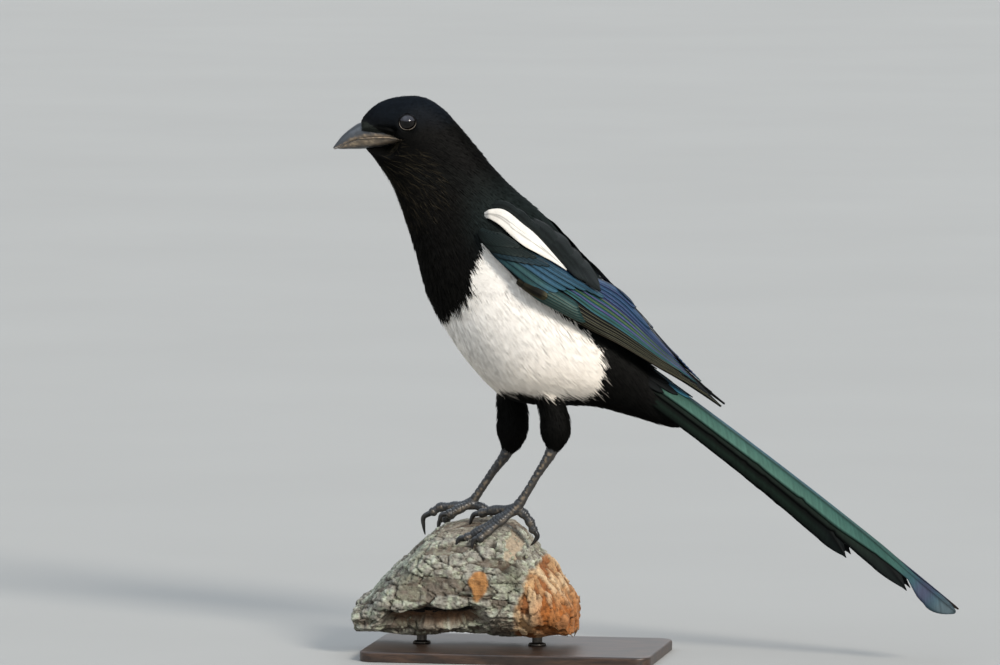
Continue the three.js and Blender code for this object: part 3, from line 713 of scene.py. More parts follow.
def coatMaterial(name, rough, gloss, sheen, variation, sheenTint, deep):
    material, tree, shader = newMaterial(name, Roughness=rough, Sheen_Weight=sheen, Sheen_Roughness=0.5,
                                         Sheen_Tint=rgba(sheenTint), Specular_IOR_Level=gloss)
    tint, place = tintAndPlace(tree)
    mottle = useGroup(tree, groups["mottle"], Place=place, Size=160.0, Grain=1500.0, Contrast=1.4)
    shade = colourSteps(tree, mottle["Mask"], [(0.2, 1 - variation), (0.8, 1.0)])
    linkFinish(tree, shader, multiplied(tree, tint, shade), mottle["Height"], 0.35, deep)
    return material


# what a region of the coat has unless it says otherwise; lengths in millimetres
usualCoat = {"rows": 3, "strands": 2, "uneven": 0.35, "swing": 0.12, "drift": 0, "rise": 0.75, "flick": 0,
             "rootShade": 0.75, "tipShade": 1.08, "vary": 0.12, "lean": 0.5}


def strandFaces(rows):  # triangles of one three-sided strand that ends in a point
    side = gridFaces(rows, 3, closed=True)
    body = np.stack([side[:, [0, 1, 2]], side[:, [0, 2, 3]]], axis=1).reshape(-1, 3)
    last = (rows - 1) * 3
    tip = [(last + c, last + (c + 1) % 3, rows * 3) for c in range(3)]
    return np.concatenate([body, tip, [(0, 2, 1)]])[:, ::-1]


def walked(surface, spot, ahead, out, length, rows, way):  # down the coat, back onto the form at every step
    path, outs = [spot], [out]
    for _ in range(rows):
        index, spot = surface.nearest(spot + ahead * (length / rows)[:, None])
        n = unit(surface.blend(surface.normals, index, spot))
        ahead = unit(ahead * 0.6 + surface.lie[surface.faces[index, 0]] * way * 0.4)
        ahead = unit(ahead - n * (ahead * n).sum(1, keepdims=True))
        path.append(spot)
        outs.append(n)
    return np.stack(path, axis=1), np.stack(outs, axis=1)


def growTufts(name, surface, regions, material, slot, seed):
    # a region says where it grows (a density), which roots to keep, and how its locks are made
    gen = np.random.default_rng(seed)
    allPoints, allFaces, allTint, allPatch, allNormals, at = [], [], [], [], [], 0
    centres = surface.points[surface.faces].mean(axis=1)
    kinds = surface.kind[surface.faces[:, 0]]
    for region in regions:
        region = {"colour": coatTint, **usualCoat, **region}
        weight = surface.area * region["where"](centres, kinds)
        count = region["count"]
        pick = np.searchsorted(np.cumsum(weight) / weight.sum(), (np.arange(count) + gen.random(count)) / count)
        pick = np.minimum(pick, len(weight) - 1)
        r1, r2 = np.sqrt(gen.random(count)), gen.random(count)
        bary = np.stack([1 - r1, r1 * (1 - r2), r1 * r2], axis=1)
        roots = (surface.points[surface.faces[pick]] * bary[..., None]).sum(axis=1)
        normal = unit((surface.normals[surface.faces[pick]] * bary[..., None]).sum(axis=1))
        kept = region["keep"](roots, normal)
        roots, normal, pick = roots[kept], normal[kept], pick[kept]
        lie = surface.lie[surface.faces[pick]].mean(axis=1)
        place = surface.place[surface.faces[pick, 0]]
        count = len(roots)
        size = region["size"](roots) if "size" in region else np.ones(count)
        length = region["length"] * size * gen.uniform(0.78, 1.2, count)
        width = region["width"] * np.sqrt(size) * gen.uniform(0.8, 1.2, count)
        lift = region["lift"] * gen.uniform(1 - region["uneven"], 1 + region["uneven"] * 0.7, count)
        if "raise" in region:
            lift = lift * region["raise"](roots)
        if region.get("byDepth"):
            lift = lift * coatDepth(surface.kind[surface.faces[pick, 0], 0])
        way = -1.0 if region.get("against") else 1.0
        lie = lie * way
        along = unit(lie - normal * (lie * normal).sum(1, keepdims=True))
        swing = gen.normal(0, region["swing"], count) + region["drift"] * softNoise(roots, 7.0, seed)
        along = unit(along + np.cross(normal, along) * swing[:, None])
        if "bend" in region:
            along = region["bend"](roots, normal, along)
        rows, strands = region["rows"], region["strands"]
        path, out = walked(surface, roots, along, normal, length, rows, way)
        s = np.linspace(0, 1, rows + 1)
        rise = -0.35 + (lift[:, None] + 0.35) * s**region["rise"] + region["flick"] * s**4
        path = path + out * rise[..., None]
        if "fence" in region:
            path = region["fence"](path)
        ahead = unit(np.gradient(path, axis=1))
        across = unit(np.cross(out, ahead))
        colours = region["colour"](roots, gen)
        for j in range(strands):  # strands fan out of the lock's root and part at its tip
            offset = (j - (strands - 1) / 2) / max(strands - 1, 1)
            fan = (offset * region["spread"] * (0.55 + 0.75 * s[None]) * gen.uniform(0.6, 1.4, (count, 1))
                   + gen.normal(0, region["wave"], (count, 1)) * s[None] ** 2
                   + gen.normal(0, region["wave"] * 0.4, (count, 1)) * np.sin(s[None] * 5))
            short = gen.uniform(0.72, 1.0, count) if strands > 1 else np.ones(count)
            mid = path + across * fan[..., None]
            mid = roots[:, None] + (mid - roots[:, None]) * short[:, None, None]
            half = width[:, None] / 2 * np.interp(s[:-1], [0, 0.35, 0.75, 1], [0.55, 1.0, 0.72, 0.0])[None]
            sideways, raised = across[:, :-1] * half[..., None], out[:, :-1] * half[..., None] * 0.45
            body = np.stack([mid[:, :-1] + sideways * k + raised * r for k, r in ((-1, -1), (0, 1), (1, -1))], axis=2)
            points = np.concatenate([body.reshape(count, rows * 3, 3), mid[:, -1:]], axis=1)
            each = rows * 3 + 1
            starts = at + np.arange(count) * each
            allFaces.append((strandFaces(rows)[None] + starts[:, None, None]).reshape(-1, 3))
            allPoints.append(points.reshape(-1, 3))
            at += count * each
            flat = np.stack([np.tile([-0.9, 0.0, 0.9], rows), np.repeat(s[:-1], 3)], axis=1)
            flat = np.concatenate([flat, [[0.0, 1.0]]])
            patch = place[:, None] + flat[None] * np.array([0.0015, 0.003]) + (offset * 0.0012, 0)
            allPatch.append(patch.reshape(-1, 2))
            fade = np.concatenate([np.repeat(s[:-1], 3), [1.0]])
            shade = mix(region["rootShade"], region["tipShade"], fade)
            own = gen.uniform(1 - region["vary"], 1 + region["vary"], (count, 1, 1))
            allTint.append((colours[:, None] * shade[None, :, None] * own).reshape(-1, 3))
            lean = np.tile([-1.0, 0.0, 1.0], rows) * region["lean"]
            tilt = out[:, :-1].repeat(3, axis=1) + across[:, :-1].repeat(3, axis=1) * lean[None, :, None]
            allNormals.append(unit(np.concatenate([tilt, out[:, -1:]], axis=1)).reshape(-1, 3))
    piece = makePiece(name, np.concatenate(allPoints), np.concatenate(allFaces), material,
                      tint=np.clip(np.concatenate(allTint), 0, 1), patch=np.concatenate(allPatch),
                      normals=np.concatenate(allNormals))
    declare(piece, slot)
    print(name, len(piece.data.polygons), "triangles")
    return piece


lid = {"tall": 0.95, "wide": 1.05}

billRows = [  # y, culmen, cutting edge, gonys, half width, before the head is turned
    (-64, 305, 300.5, 297.6, 10.4), (-72, 308.0, 301.1, 295.4, 8.8), (-80, 309.8, 300.9, 294.3, 7.4),
    (-87, 309, 300.2, 293.7, 6.1), (-93, 305.3, 298.1, 293.7, 4.8), (-97.6, 301.3, 295.8, 293.6, 3.3),
    (-100.6, 297.6, 294.6, 293.9, 1.9), (-102.6, 294.9, 294.1, 293.9, 0.6)]

horn = {"ridge": "20242a", "side": "3b3f44", "wear": "7b6a55", "pale": "988973", "lower": "433f3b", "lip": "97856f"}


def mixTint(base, *layers):  # base colour, then (colour, mask) laid over it
    out = np.repeat(colour(base)[None], len(layers[0][1]), axis=0)
    for text, mask in layers:
        out = mix(out, colour(text), np.clip(mask, 0, 1)[:, None])
    return out


def eyeMaterial():
    material, tree, shader = newMaterial("eye", Roughness=0.04, Specular_IOR_Level=0.26)
    tint, place = tintAndPlace(tree)
    fibres = node(tree, "TexNoise", Vector=place, Scale=1800.0, Detail=3.0).outputs[0]
    shade = colourSteps(tree, fibres, [(0.3, 0.7), (0.7, 1.0)])
    tree.links.new(multiplied(tree, tint, shade), shader.inputs["Base Color"])
    return material


def tintedMaterial(name, rough, size, grain, contrast, low, bumpAt, deep, coatWeight=0.0, coatRough=0.2,
                   roughRange=0.12, gloss=0.5):
    # a colour on the points, mottled; the same mask moves the roughness and the bump
    material, tree, shader = newMaterial(name, Coat_Weight=coatWeight, Coat_Roughness=coatRough,
                                         Specular_IOR_Level=gloss)
    tint, place = tintAndPlace(tree)
    mottle = useGroup(tree, groups["mottle"], Place=place, Size=size, Grain=grain, Contrast=contrast)
    shade = colourSteps(tree, mottle["Mask"], [(0.25, low), (0.75, 1.0)])
    wear = node(tree, "MapRange", Value=mottle["Mask"], To_Min=rough + roughRange, To_Max=rough - roughRange)
    tree.links.new(wear.outputs[0], shader.inputs["Roughness"])
    linkFinish(tree, shader, multiplied(tree, tint, shade), mottle["Height"], bumpAt, deep)
    return material


def axisFrame(side):  # the eye's axis, forward and up
    axis = eyeAxis(side)
    up = unit(np.array([0, 0, 1.0]) - axis * axis[2])
    ahead = np.cross(up, axis) * side
    return axis, ahead, up


def makeEye(side):
    centre, (axis, ahead, up) = eyeCentre(side), axisFrame(side)
    rings, sides = 40, 56
    polar = np.linspace(0.02, np.pi - 0.05, rings)
    around = ringTo(sides)
    reach = eyes["radius"] - 0.12 + 0.28 * np.exp(-(polar / 0.62) ** 2)
    flat = (np.cos(around)[None, :, None] * ahead + np.sin(around)[None, :, None] * up) * np.sin(polar)[:, None, None]
    points = centre + (axis * np.cos(polar)[:, None, None] + flat) * reach[:, None, None]
    points = points.reshape(-1, 3)
    faces = [gridFaces(rings, sides, True)[:, ::-1], fanCaps(len(points), sides)]
    points = np.concatenate([points, [centre + axis * reach[0]], [centre - axis * reach[-1]]])
    angle = np.concatenate([np.repeat(polar, sides), [0.0, np.pi]])
    iris = ramp(angle, 0.34, 0.40) * (1 - ramp(angle, 0.70, 0.78))
    # painted reflection: a pale grey band over the upper half of the ball stands in for the sky's reflection
    high = (points - centre) @ up / eyes["radius"] - 0.15 * ((points - centre) @ ahead / eyes["radius"]) ** 2
    sheen = ramp(high, 0.10, 0.20) * ramp(0.92 - high, 0, 0.3)
    tint = mixTint("040303", ("0d0907", iris), ("36373d", sheen))
    name = "eye_ball_left" if side > 0 else "eye_ball_right"
    return makePiece(name, points, outward(points, faces, centre), materials["eye"], tint=tint)


def makeLids(side):  # a soft ring of bare skin round the eye, its margin on the ball
    centre, (axis, ahead, up) = eyeCentre(side), axisFrame(side)
    sides = 96
    around = ringTo(sides)
    # the lid's section: distance from the eye's axis, height along it
    section = [(4.38, 3.05), (4.30, 3.38), (4.33, 3.56), (4.42, 3.62), (4.54, 3.60), (4.68, 3.5), (4.85, 3.25),
               (5.0, 2.9), (5.15, 2.5), (5.1, 2.1), (4.9, 2.0), (4.7, 2.3)]
    wobble = softNoise(np.stack([np.cos(around) * 6, np.sin(around) * 6, 0 * around], axis=1), 1.6, 5) * 0.07
    fold = 0.05 * np.sin(around * 23) + wobble
    wide = 1 + (lid["wide"] - 1) * np.cos(around) ** 2 - (1 - lid["tall"]) * np.sin(around) ** 2
    rows = []
    for k, (r, h) in enumerate(section):
        crease = fold * (1.0 if 3 <= k <= 7 else 0.2)
        r0 = (r + 0.25 * np.maximum(np.cos(around), 0) ** 6 * (k < 6)) * wide
        h0 = h + crease - 0.4 * (wide - 1)
        ring = np.cos(around)[:, None] * ahead + np.sin(around)[:, None] * up
        rows.append(centre + axis * h0[:, None] + ring * r0[:, None])
    points = np.array(rows).transpose(1, 0, 2).reshape(-1, 3)
    n = len(section)
    middle = points.reshape(sides, n, 3).mean(axis=1).repeat(n, axis=0)
    quads = outward(points, [gridFaces(sides, n, closed=True, looped=True)], middle)
    level = np.tile(np.arange(n), sides)
    under = ramp(-np.sin(np.repeat(around, n)), -0.25, 0.35)
    rim = np.where((level >= 1) & (level <= 3), 1.0, 0.0) * under
    tint = mixTint("040404", ("a3998d", rim), ("060606", (level >= 5) * 0.8))
    name = "lids_left" if side > 0 else "lids_right"
    piece = makePiece(name, points, quads, materials["lids"], tint=tint)
    modifier = piece.modifiers.new("soften", "SUBSURF")
    modifier.levels = modifier.render_levels = 1
    return bakedCopy(piece)


def mandible(upper):
    # culmen, cutting edge and gonys give its height; the upper one ends in a small hook
    ys = np.concatenate([np.linspace(0, 4, 24), np.linspace(4.06, 7, 52)])
    ys = ys if upper else ys[ys <= 6.62]
    y, culmen, edge, gonys, wide = alongTable(billRows, ys).T
    around = np.linspace(0, np.pi, 27 if upper else 23)
    side = np.sign(np.cos(around)) * np.abs(np.cos(around)) ** (0.92 if upper else 0.85)
    rise = np.sin(around) ** (0.88 if upper else 0.9)
    inner = np.linspace(-1, 1, 9)[1:-1]
    if upper:
        low = edge + 0.10 - 0.35 * ramp(ys, 6.4, 7)
        x = side[None] * wide[:, None] * (1 - 0.10 * rise[None] ** 3)
        z = low[:, None] + (culmen - low)[:, None] * rise[None]
        xb = inner[None] * wide[:, None] * 0.98
        zb = low[:, None] + 0.45 * (1 - inner[None] ** 2) * np.minimum(wide[:, None] / 4, 1)
    else:
        top = edge - 0.22
        low = np.minimum(gonys, top - 0.6)
        x = side[None] * (wide * 0.93)[:, None]
        z = top[:, None] - (top - low)[:, None] * rise[None]
        xb = inner[None] * wide[:, None] * 0.9
        zb = top[:, None] - 0.3 * (1 - inner[None] ** 2)
    x, z = np.concatenate([x, xb], axis=1), np.concatenate([z, zb], axis=1)
    points = np.stack([x, np.repeat(y[:, None], x.shape[1], axis=1), z], axis=2)
    ring = points.shape[1]
    ends = [points[0].mean(axis=0), points[-1].mean(axis=0) + np.array([0, -0.25, 0])]
    flat = np.concatenate([points.reshape(-1, 3), ends])
    faces = [gridFaces(len(ys), ring, True), fanCaps(len(flat) - 2, ring)[:, ::-1]]
    faces = faces if upper else [f[:, ::-1] for f in faces]  # the lower outline runs the other way round
    level = np.concatenate([((z - z.min(axis=1, keepdims=True)) / np.ptp(z, axis=1)[:, None]).ravel(), [0.5, 0.5]])
    forward = np.concatenate([np.repeat(ys, ring), [0, 7]])
    lumps = softNoise(flat, 1.7, 2) * 0.5 + softNoise(flat, 0.7, 9) * 0.5
    if upper:
        worn = ramp(0.20 - level + lumps * 0.15, -0.06, 0.12)
        ridge = ramp(level + lumps * 0.06, 0.66, 0.86)
        tint = mixTint(horn["side"], (horn["ridge"], ridge), (horn["wear"], worn * 0.75),
                       (horn["pale"], worn * ramp(lumps, 0.1, 0.5) * 0.6),
                       (horn["ridge"], ramp(forward, 6.2, 6.9) * 0.5))
    else:
        middle = ramp(level, 0.15, 0.5) * ramp(1.05 - level, 0.0, 0.3)
        tint = mixTint(horn["lower"], (horn["wear"], middle * (0.5 + lumps * 0.5)),
                       (horn["pale"], middle * ramp(lumps, 0.05, 0.45) * 0.6),
                       (horn["side"], ramp(0.25 - level, 0, 0.2) * 0.8))
    flat[:-2, 0] *= 1 + 0.008 * lumps[:-2]
    return turned(flat, eyes["turn"]), faces, tint


def makeBill(form):
    for upper in (True, False):
        points, faces, tint = mandible(upper)
        piece = makePiece("bill_culmen" if upper else "bill_gonys", points, faces, materials["horn"], tint=tint)
        declare(piece, "bill_horn", "bill_upper" if upper else "bill_lower")
    lips = []
    for side in (1, -1):  # the gape's fold, from the bill's edge back to below the eye
        path, axis = [], eyeAxis(side)
        for y in np.linspace(-87.5, -63.0, 26):
            z = np.interp(y, [-87.5, -80, -72, -63], [300.0, 300.6, 300.85, 300.3])
            start = turned(np.array([side * 30, y, z]), eyes["turn"])
            spot = turned(np.array([side * (np.interp(y, *billWide) + 0.05), y, z]), eyes["turn"])
            hit = form.tree.ray_cast(Vector(start), Vector(-axis))
            if hit[0] is not None:  # on the skin, where that stands out past the bill
                onSkin = np.array(hit[0]) + np.array(hit[1]) * 0.55
                spot = onSkin if (onSkin - spot) @ axis >= 0 else spot
            path.append(spot)
        path = np.array(path)
        for _ in range(3):
            path[1:-1] = (path[:-2] + path[1:-1] * 2 + path[2:]) / 4
        t = np.linspace(0, 1, len(path))
        lips.append(tubeMesh(path, 0.55 * np.interp(t, [0, 0.15, 0.8, 1], [0.3, 0.6, 1.0, 0.5]), 14))
    points, quads, caps = joinMeshes(lips)
    tint = mixTint(horn["lip"], (horn["side"], ramp(softNoise(points, 0.9, 4), 0.0, 0.6) * 0.6))
    declare(makePiece("gape_lips", points, [quads, caps], materials["horn"], tint=tint), "bill_horn")


wingStations = [  # low y, z, high y, z, out at low, face and high, thickness
    (-12.3, 247.8, -10.7, 251.8, 29, 29.6, 28.5, 5), (-7.1, 237.4, 2.5, 245.5, 33.6, 34.2, 30, 7),
    (3.4, 226.1, 17.8, 236.1, 37.5, 38, 28, 8), (18.5, 212.6, 34.4, 226.2, 39.8, 39.6, 24, 8),
    (36.3, 202.4, 52.4, 217.6, 38.5, 35.6, 14.2, 8), (53.5, 192.6, 65.5, 210.4, 34, 27.5, 1, 7),
    (68, 185.1, 78.7, 197.2, 27.5, 19.5, 0.8, 5), (86.6, 173, 94.5, 178.9, 19, 13, 0.8, 3.5),
    (103, 162.2, 107.2, 166.2, 13, 10, 2.5, 2.5), (124.6, 147.6, 125.3, 148.4, 8.2, 7.6, 6.6, 1.2)]

vane = {"thick": 0.34, "shaft": 0.16}


def wingPoint(u, t):  # the folded wing's outer face: u along it, t from its lower to its upper edge
    row = alongTable(wingStations, u)
    low = np.stack([row[..., 4], row[..., 0], row[..., 1]], axis=-1)
    high = np.stack([row[..., 6], row[..., 2], row[..., 3]], axis=-1)
    mid = (low + high) / 2
    face = mid.copy()
    face[..., 0] = row[..., 5]
    handle = 2 * face - mid
    t = np.asarray(t, float)[..., None]
    return (1 - t) ** 2 * low + 2 * t * (1 - t) * handle + t**2 * high


def wingGrid(us, ts):  # points over the folded wing's face, and quads that look outwards
    grid = wingPoint(us[:, None], ts[None, :])
    points = grid.reshape(-1, 3)
    return grid, outward(points, [gridFaces(len(us), len(ts))], points - np.array([1, 0, 0]))[0]


def triangles(quads):
    return np.concatenate([quads[:, [0, 1, 2]], quads[:, [0, 2, 3]]])


def wingSurface():
    grid, quads = wingGrid(np.linspace(0, 9, 121), np.linspace(-0.25, 1.2, 30))
    lie = np.gradient(grid, axis=0).reshape(-1, 3)
    return Surface(grid.reshape(-1, 3), triangles(quads), unit(lie), np.zeros((len(lie), 2)))


def flipped(faces, uv):  # faces turned over, with the map place of each corner
    return faces[:, ::-1], uv.reshape(-1, 4, 2)[:, ::-1].reshape(-1, 2)


def runOf(path):  # the distance run along a path at each of its points
    return np.concatenate([[0], np.cumsum(np.linalg.norm(np.diff(path, axis=0), axis=1))])


acrossSteps = np.array([-1, -0.82, -0.5, -0.2, -0.05, 0.05, 0.2, 0.5, 0.82, 1])
thinning = 0.3 + 0.7 * (1 - acrossSteps**4)  # a vane thins towards its edges
onShaft = np.abs(acrossSteps) < 0.1


def shell(top, bottom, cell, share, barb):
    # a closed thin vane from two grids of points, with its corners placed in one cell of the bake map;
    # its marks are the place across it, the share of its length, and the run along its barbs
    rows, cols = top.shape[:2]
    n = rows * cols
    points = np.concatenate([top.reshape(-1, 3), bottom.reshape(-1, 3)])
    up = gridFaces(rows, cols)
    down = up[:, ::-1] + n
    r, c = np.arange(rows - 1), np.arange(cols - 1)
    left = np.stack([r * cols, (r + 1) * cols, (r + 1) * cols + n, r * cols + n], axis=1)
    right = np.stack([r * cols + cols - 1, r * cols + cols - 1 + n, (r + 1) * cols + cols - 1 + n,
                      (r + 1) * cols + cols - 1], axis=1)
    root = np.stack([c, c + n, c + 1 + n, c + 1], axis=1)
    tip = np.stack([(rows - 1) * cols + c, (rows - 1) * cols + c + 1, (rows - 1) * cols + c + 1 + n,
                    (rows - 1) * cols + c + n], axis=1)
    x0, y0, w, h = cell
    v = y0 + h * (0.04 + 0.92 * np.repeat(np.linspace(0, 1, rows), cols))
    s = np.tile(np.linspace(0, 1, cols), rows)
    upper = np.stack([x0 + w * (0.04 + 0.42 * s), v], axis=1)
    lower = np.stack([x0 + w * (0.54 + 0.42 * s), v], axis=1)
    both = np.concatenate([upper, lower])
    rim = np.concatenate([upper, upper])
    uv = [both[up].reshape(-1, 2), both[down].reshape(-1, 2)]
    for f, shift in ((left, (-0.02 * w, 0)), (right, (0.02 * w, 0)), (root, (0, -0.02 * h)), (tip, (0, 0.02 * h))):
        corner = rim[f % n].copy()
        corner[f >= n] += shift
        uv.append(corner.reshape(-1, 2))
    faces, uv = np.concatenate([up, down, left, right, root, tip]), np.concatenate(uv)
    a, b, c = (points[up[:, k]] for k in range(3))
    if (np.cross(b - a, c - a) * (a - points[up[:, 0] + n])).sum() < 0:
        faces, uv = flipped(faces, uv)
    marks = {"across": np.tile(acrossSteps, rows * 2), "along": np.tile(np.repeat(share, cols), 2),
             "barb": np.tile(barb.ravel(), 2)}
    return points, faces, uv, marks


def layVane(surface, centre, half, lift, upWay, cell, tilt, camber):
    # a vane laid on a surface: centre line, half widths (lower, upper), height above the surface at each row
    rows, cols = len(centre), len(acrossSteps)
    index, on = surface.nearest(centre)
    n = unit(surface.blend(surface.normals, index, on))
    ahead = unit(np.gradient(on, axis=0))
    side = unit(np.cross(n, ahead))
    side = side * np.where((side * upWay).sum(axis=1, keepdims=True) < 0, -1, 1)
    low, high = half
    reach = np.where(acrossSteps[None] < 0, acrossSteps[None] * low[:, None], acrossSteps[None] * high[:, None])
    spots = on[:, None] + side[:, None] * reach[..., None]
    index, base = surface.nearest(spots.reshape(-1, 3))
    normals = unit(surface.blend(surface.normals, index, base)).reshape(rows, cols, 3)
    base = base.reshape(rows, cols, 3)
    gap = spots - base
    base = base + gap - normals * (gap * normals).sum(-1, keepdims=True)
    ridge = vane["shaft"] * onShaft
    height = lift[:, None] + tilt * acrossSteps[None] + camber * (1 - acrossSteps[None] ** 2) + ridge[None]
    top = base + normals * height[..., None]
    bottom = top - normals * (vane["thick"] * thinning[None] + ridge[None])[..., None]
    along = runOf(on)
    return shell(top, bottom, cell, along / along[-1], along[:, None] - np.abs(reach) * 1.15)


class VaneSet:  # many vanes as one piece
    def __init__(self, columns, rows):
        self.columns, self.rows, self.count = columns, rows, 0
        self.points, self.faces, self.uv, self.tint = [], [], [], []
        self.marks = {"across": [], "along": [], "barb": []}
        self.at = 0

    def cell(self):
        k = self.count
        self.count += 1
        w, h = 1 / self.columns, 1 / self.rows
        return (k % self.columns * w, k // self.columns % self.rows * h, w, h)

    def add(self, made, tintOf):
        points, faces, uv, marks = made
        self.points.append(points)
        self.faces.append(faces + self.at)
        self.uv.append(uv)
        self.at += len(points)
        self.tint.append(tintOf(marks["across"], marks["along"], points))
        for key in self.marks:
            self.marks[key].append(marks[key] + (self.count * 3.7 if key == "barb" else 0))

    def build(self, name, material, mirror=False):
        points, faces = np.concatenate(self.points), np.concatenate(self.faces)
        uv = np.concatenate(self.uv)
        if mirror:
            points = points * np.array([-1, 1, 1])
            faces, uv = flipped(faces, uv)
        marks = {k: np.concatenate(v) for k, v in self.marks.items()}
        tint = np.clip(np.concatenate(self.tint), 0, 1)
        piece = makePiece(name, points, faces, material, tint=tint, patch=uv, marks=marks)
        print(name, len(faces) * 2, "triangles")
        return piece


def vaneTint(base, edge=None, tip=None, root=None, shadedUpperEdge=None, edgeFrom=0.7, vary=0.0):
    # the colours of one vane: its middle, exposed lower edge, tip and root, and its upper edge painted darker as shade
    # under the next vane
    def tintOf(across, along, points):
        out = np.repeat(colour(base)[None], len(across), axis=0)
        if root:
            out = mix(out, colour(root), ramp(0.45 - along, 0, 0.4)[:, None])
        if tip:
            out = mix(out, colour(tip), ramp(along, 0.7, 0.98)[:, None])
        if edge:
            out = mix(out, colour(edge), ramp(-across, edgeFrom - 0.12, edgeFrom + 0.12)[:, None])
        if shadedUpperEdge:
            # painted shadow: the upper edge, which lies under the next vane, is painted darker
            out = mix(out, colour(shadedUpperEdge), ramp(across, 0.55, 0.95)[:, None])
        out = out * (1 - 0.45 * (np.abs(across) < 0.06))[:, None]
        lumps = softNoise(points, 6.0, 8)[:, None]
        return out * (1 + (0.10 + vary) * lumps)
    return tintOf


def barbGroup():  # fine barbs, and streaks where a few of them part
    tree, start, end = newGroup("fineBarbs", [("Barb", "Float", 0.0), ("Across", "Float", 0.0),
                                              ("Spacing", "Float", 0.9), ("Streaks", "Float", 0.5)],
                                [("Height", "Float"), ("Shade", "Float")])
    cycle = node(tree, "Math", operation="DIVIDE", i0=start.outputs["Barb"], i1=start.outputs["Spacing"])
    wave = node(tree, "Math", operation="SINE",
                i0=node(tree, "Math", operation="MULTIPLY", i0=cycle.outputs[0], i1=6.2832).outputs[0])
    place = node(tree, "CombineXYZ", X=start.outputs["Barb"], Y=start.outputs["Across"])
    streak = node(tree, "TexNoise", Vector=place.outputs[0], Scale=0.55, Detail=4.0, Roughness=0.7)
    height = node(tree, "Math", operation="MULTIPLY_ADD", i0=wave.outputs[0], i1=0.18, i2=streak.outputs[0])
    shade = node(tree, "MapRange", Value=streak.outputs[0], From_Min=0.3, From_Max=0.7, To_Max=1.0)
    drop = node(tree, "Math", operation="SUBTRACT", i0=1.0, i1=start.outputs["Streaks"])
    tree.links.new(drop.outputs[0], shade.inputs["To Min"])
    tree.links.new(height.outputs[0], end.inputs["Height"])
    tree.links.new(shade.outputs[0], end.inputs["Shade"])
    return tree


def vaneMaterial(name, metal, rough, streaks, coatWeight=0.0, gloss=0.4):
    material, tree, shader = newMaterial(name, Metallic=metal, Roughness=rough, Coat_Weight=coatWeight,
                                         Coat_Roughness=0.35, Specular_IOR_Level=gloss)
    tint = node(tree, "VertexColor", layer_name="tint").outputs["Color"]
    barb = node(tree, "Attribute", attribute_name="barb").outputs["Fac"]
    across = node(tree, "Attribute", attribute_name="across").outputs["Fac"]
    barbs = useGroup(tree, groups["barbs"], Barb=barb, Across=across, Spacing=0.85, Streaks=streaks)
    place = node(tree, "TexCoord").outputs["Object"]
    mottle = useGroup(tree, groups["mottle"], Place=place, Size=120.0, Grain=900.0, Contrast=1.0)
    shade = multiplied(tree, tint, colourSteps(tree, barbs["Shade"], [(0.0, 0.0), (1.0, 1.0)]))
    low = colourSteps(tree, mottle["Mask"], [(0.3, 0.86), (0.7, 1.0)])
    linkFinish(tree, shader, multiplied(tree, shade, low), barbs["Height"], 0.5, 0.12)
    return material


def tipProfile(s, width, tipFrom=0.82, rootWidth=0.55, point=0.5):  # half widths along a vane
    body = np.interp(s, [0, 0.2, 0.55, tipFrom], [rootWidth, 0.85, 1.0, 0.96])
    past = np.clip((s - tipFrom) / (1 - tipFrom), 0, 1)
    return width * body * np.maximum(1 - past**2, 0.0012) ** point


def onWing(table, rows):  # a smooth line through (u, t) points of the wing, its rows closer at the tip
    s = np.linspace(0, 1, rows) ** 0.85
    uv = alongTable(table, s * (len(table) - 1))
    return s, uv[:, 0], uv[:, 1], wingPoint(uv[:, 0], uv[:, 1])


def upOf(u, t):
    return unit(wingPoint(u, t + 0.05) - wingPoint(u, t - 0.05))


wingColours = {"primary": "0b0a08", "primaryEdge": "77775f", "lowest": "1c1913", "lowestEdge": "4c4332",
               "covert": "35566a", "covertLow": "304f50", "covertShadedEdge": "14232b", "handCovert": "24403f",
               "handEdge": "44524b", "alula": "17150f", "alulaTip": "403e2b", "median": "1d2f36",
               "blue": "304c6c", "violet": "3c4568", "teal": "315a66", "green": "2f544c", "olive": "566b34",
               "purpleEdge": "5b4a80"}


def wingLines():  # the edges that split the folded wing into bands
    low = lambda u: np.interp(u, [3, 7, 8, 8.6, 9], [0.02, 0.04, 0.16, 0.45, 0.7])
    gap = lambda u: np.interp(u, [2.6, 3.45, 4.74, 6.45, 8.12, 9], [0.62, 0.58, 0.41, 0.38, 0.60, 0.9])
    return low, gap


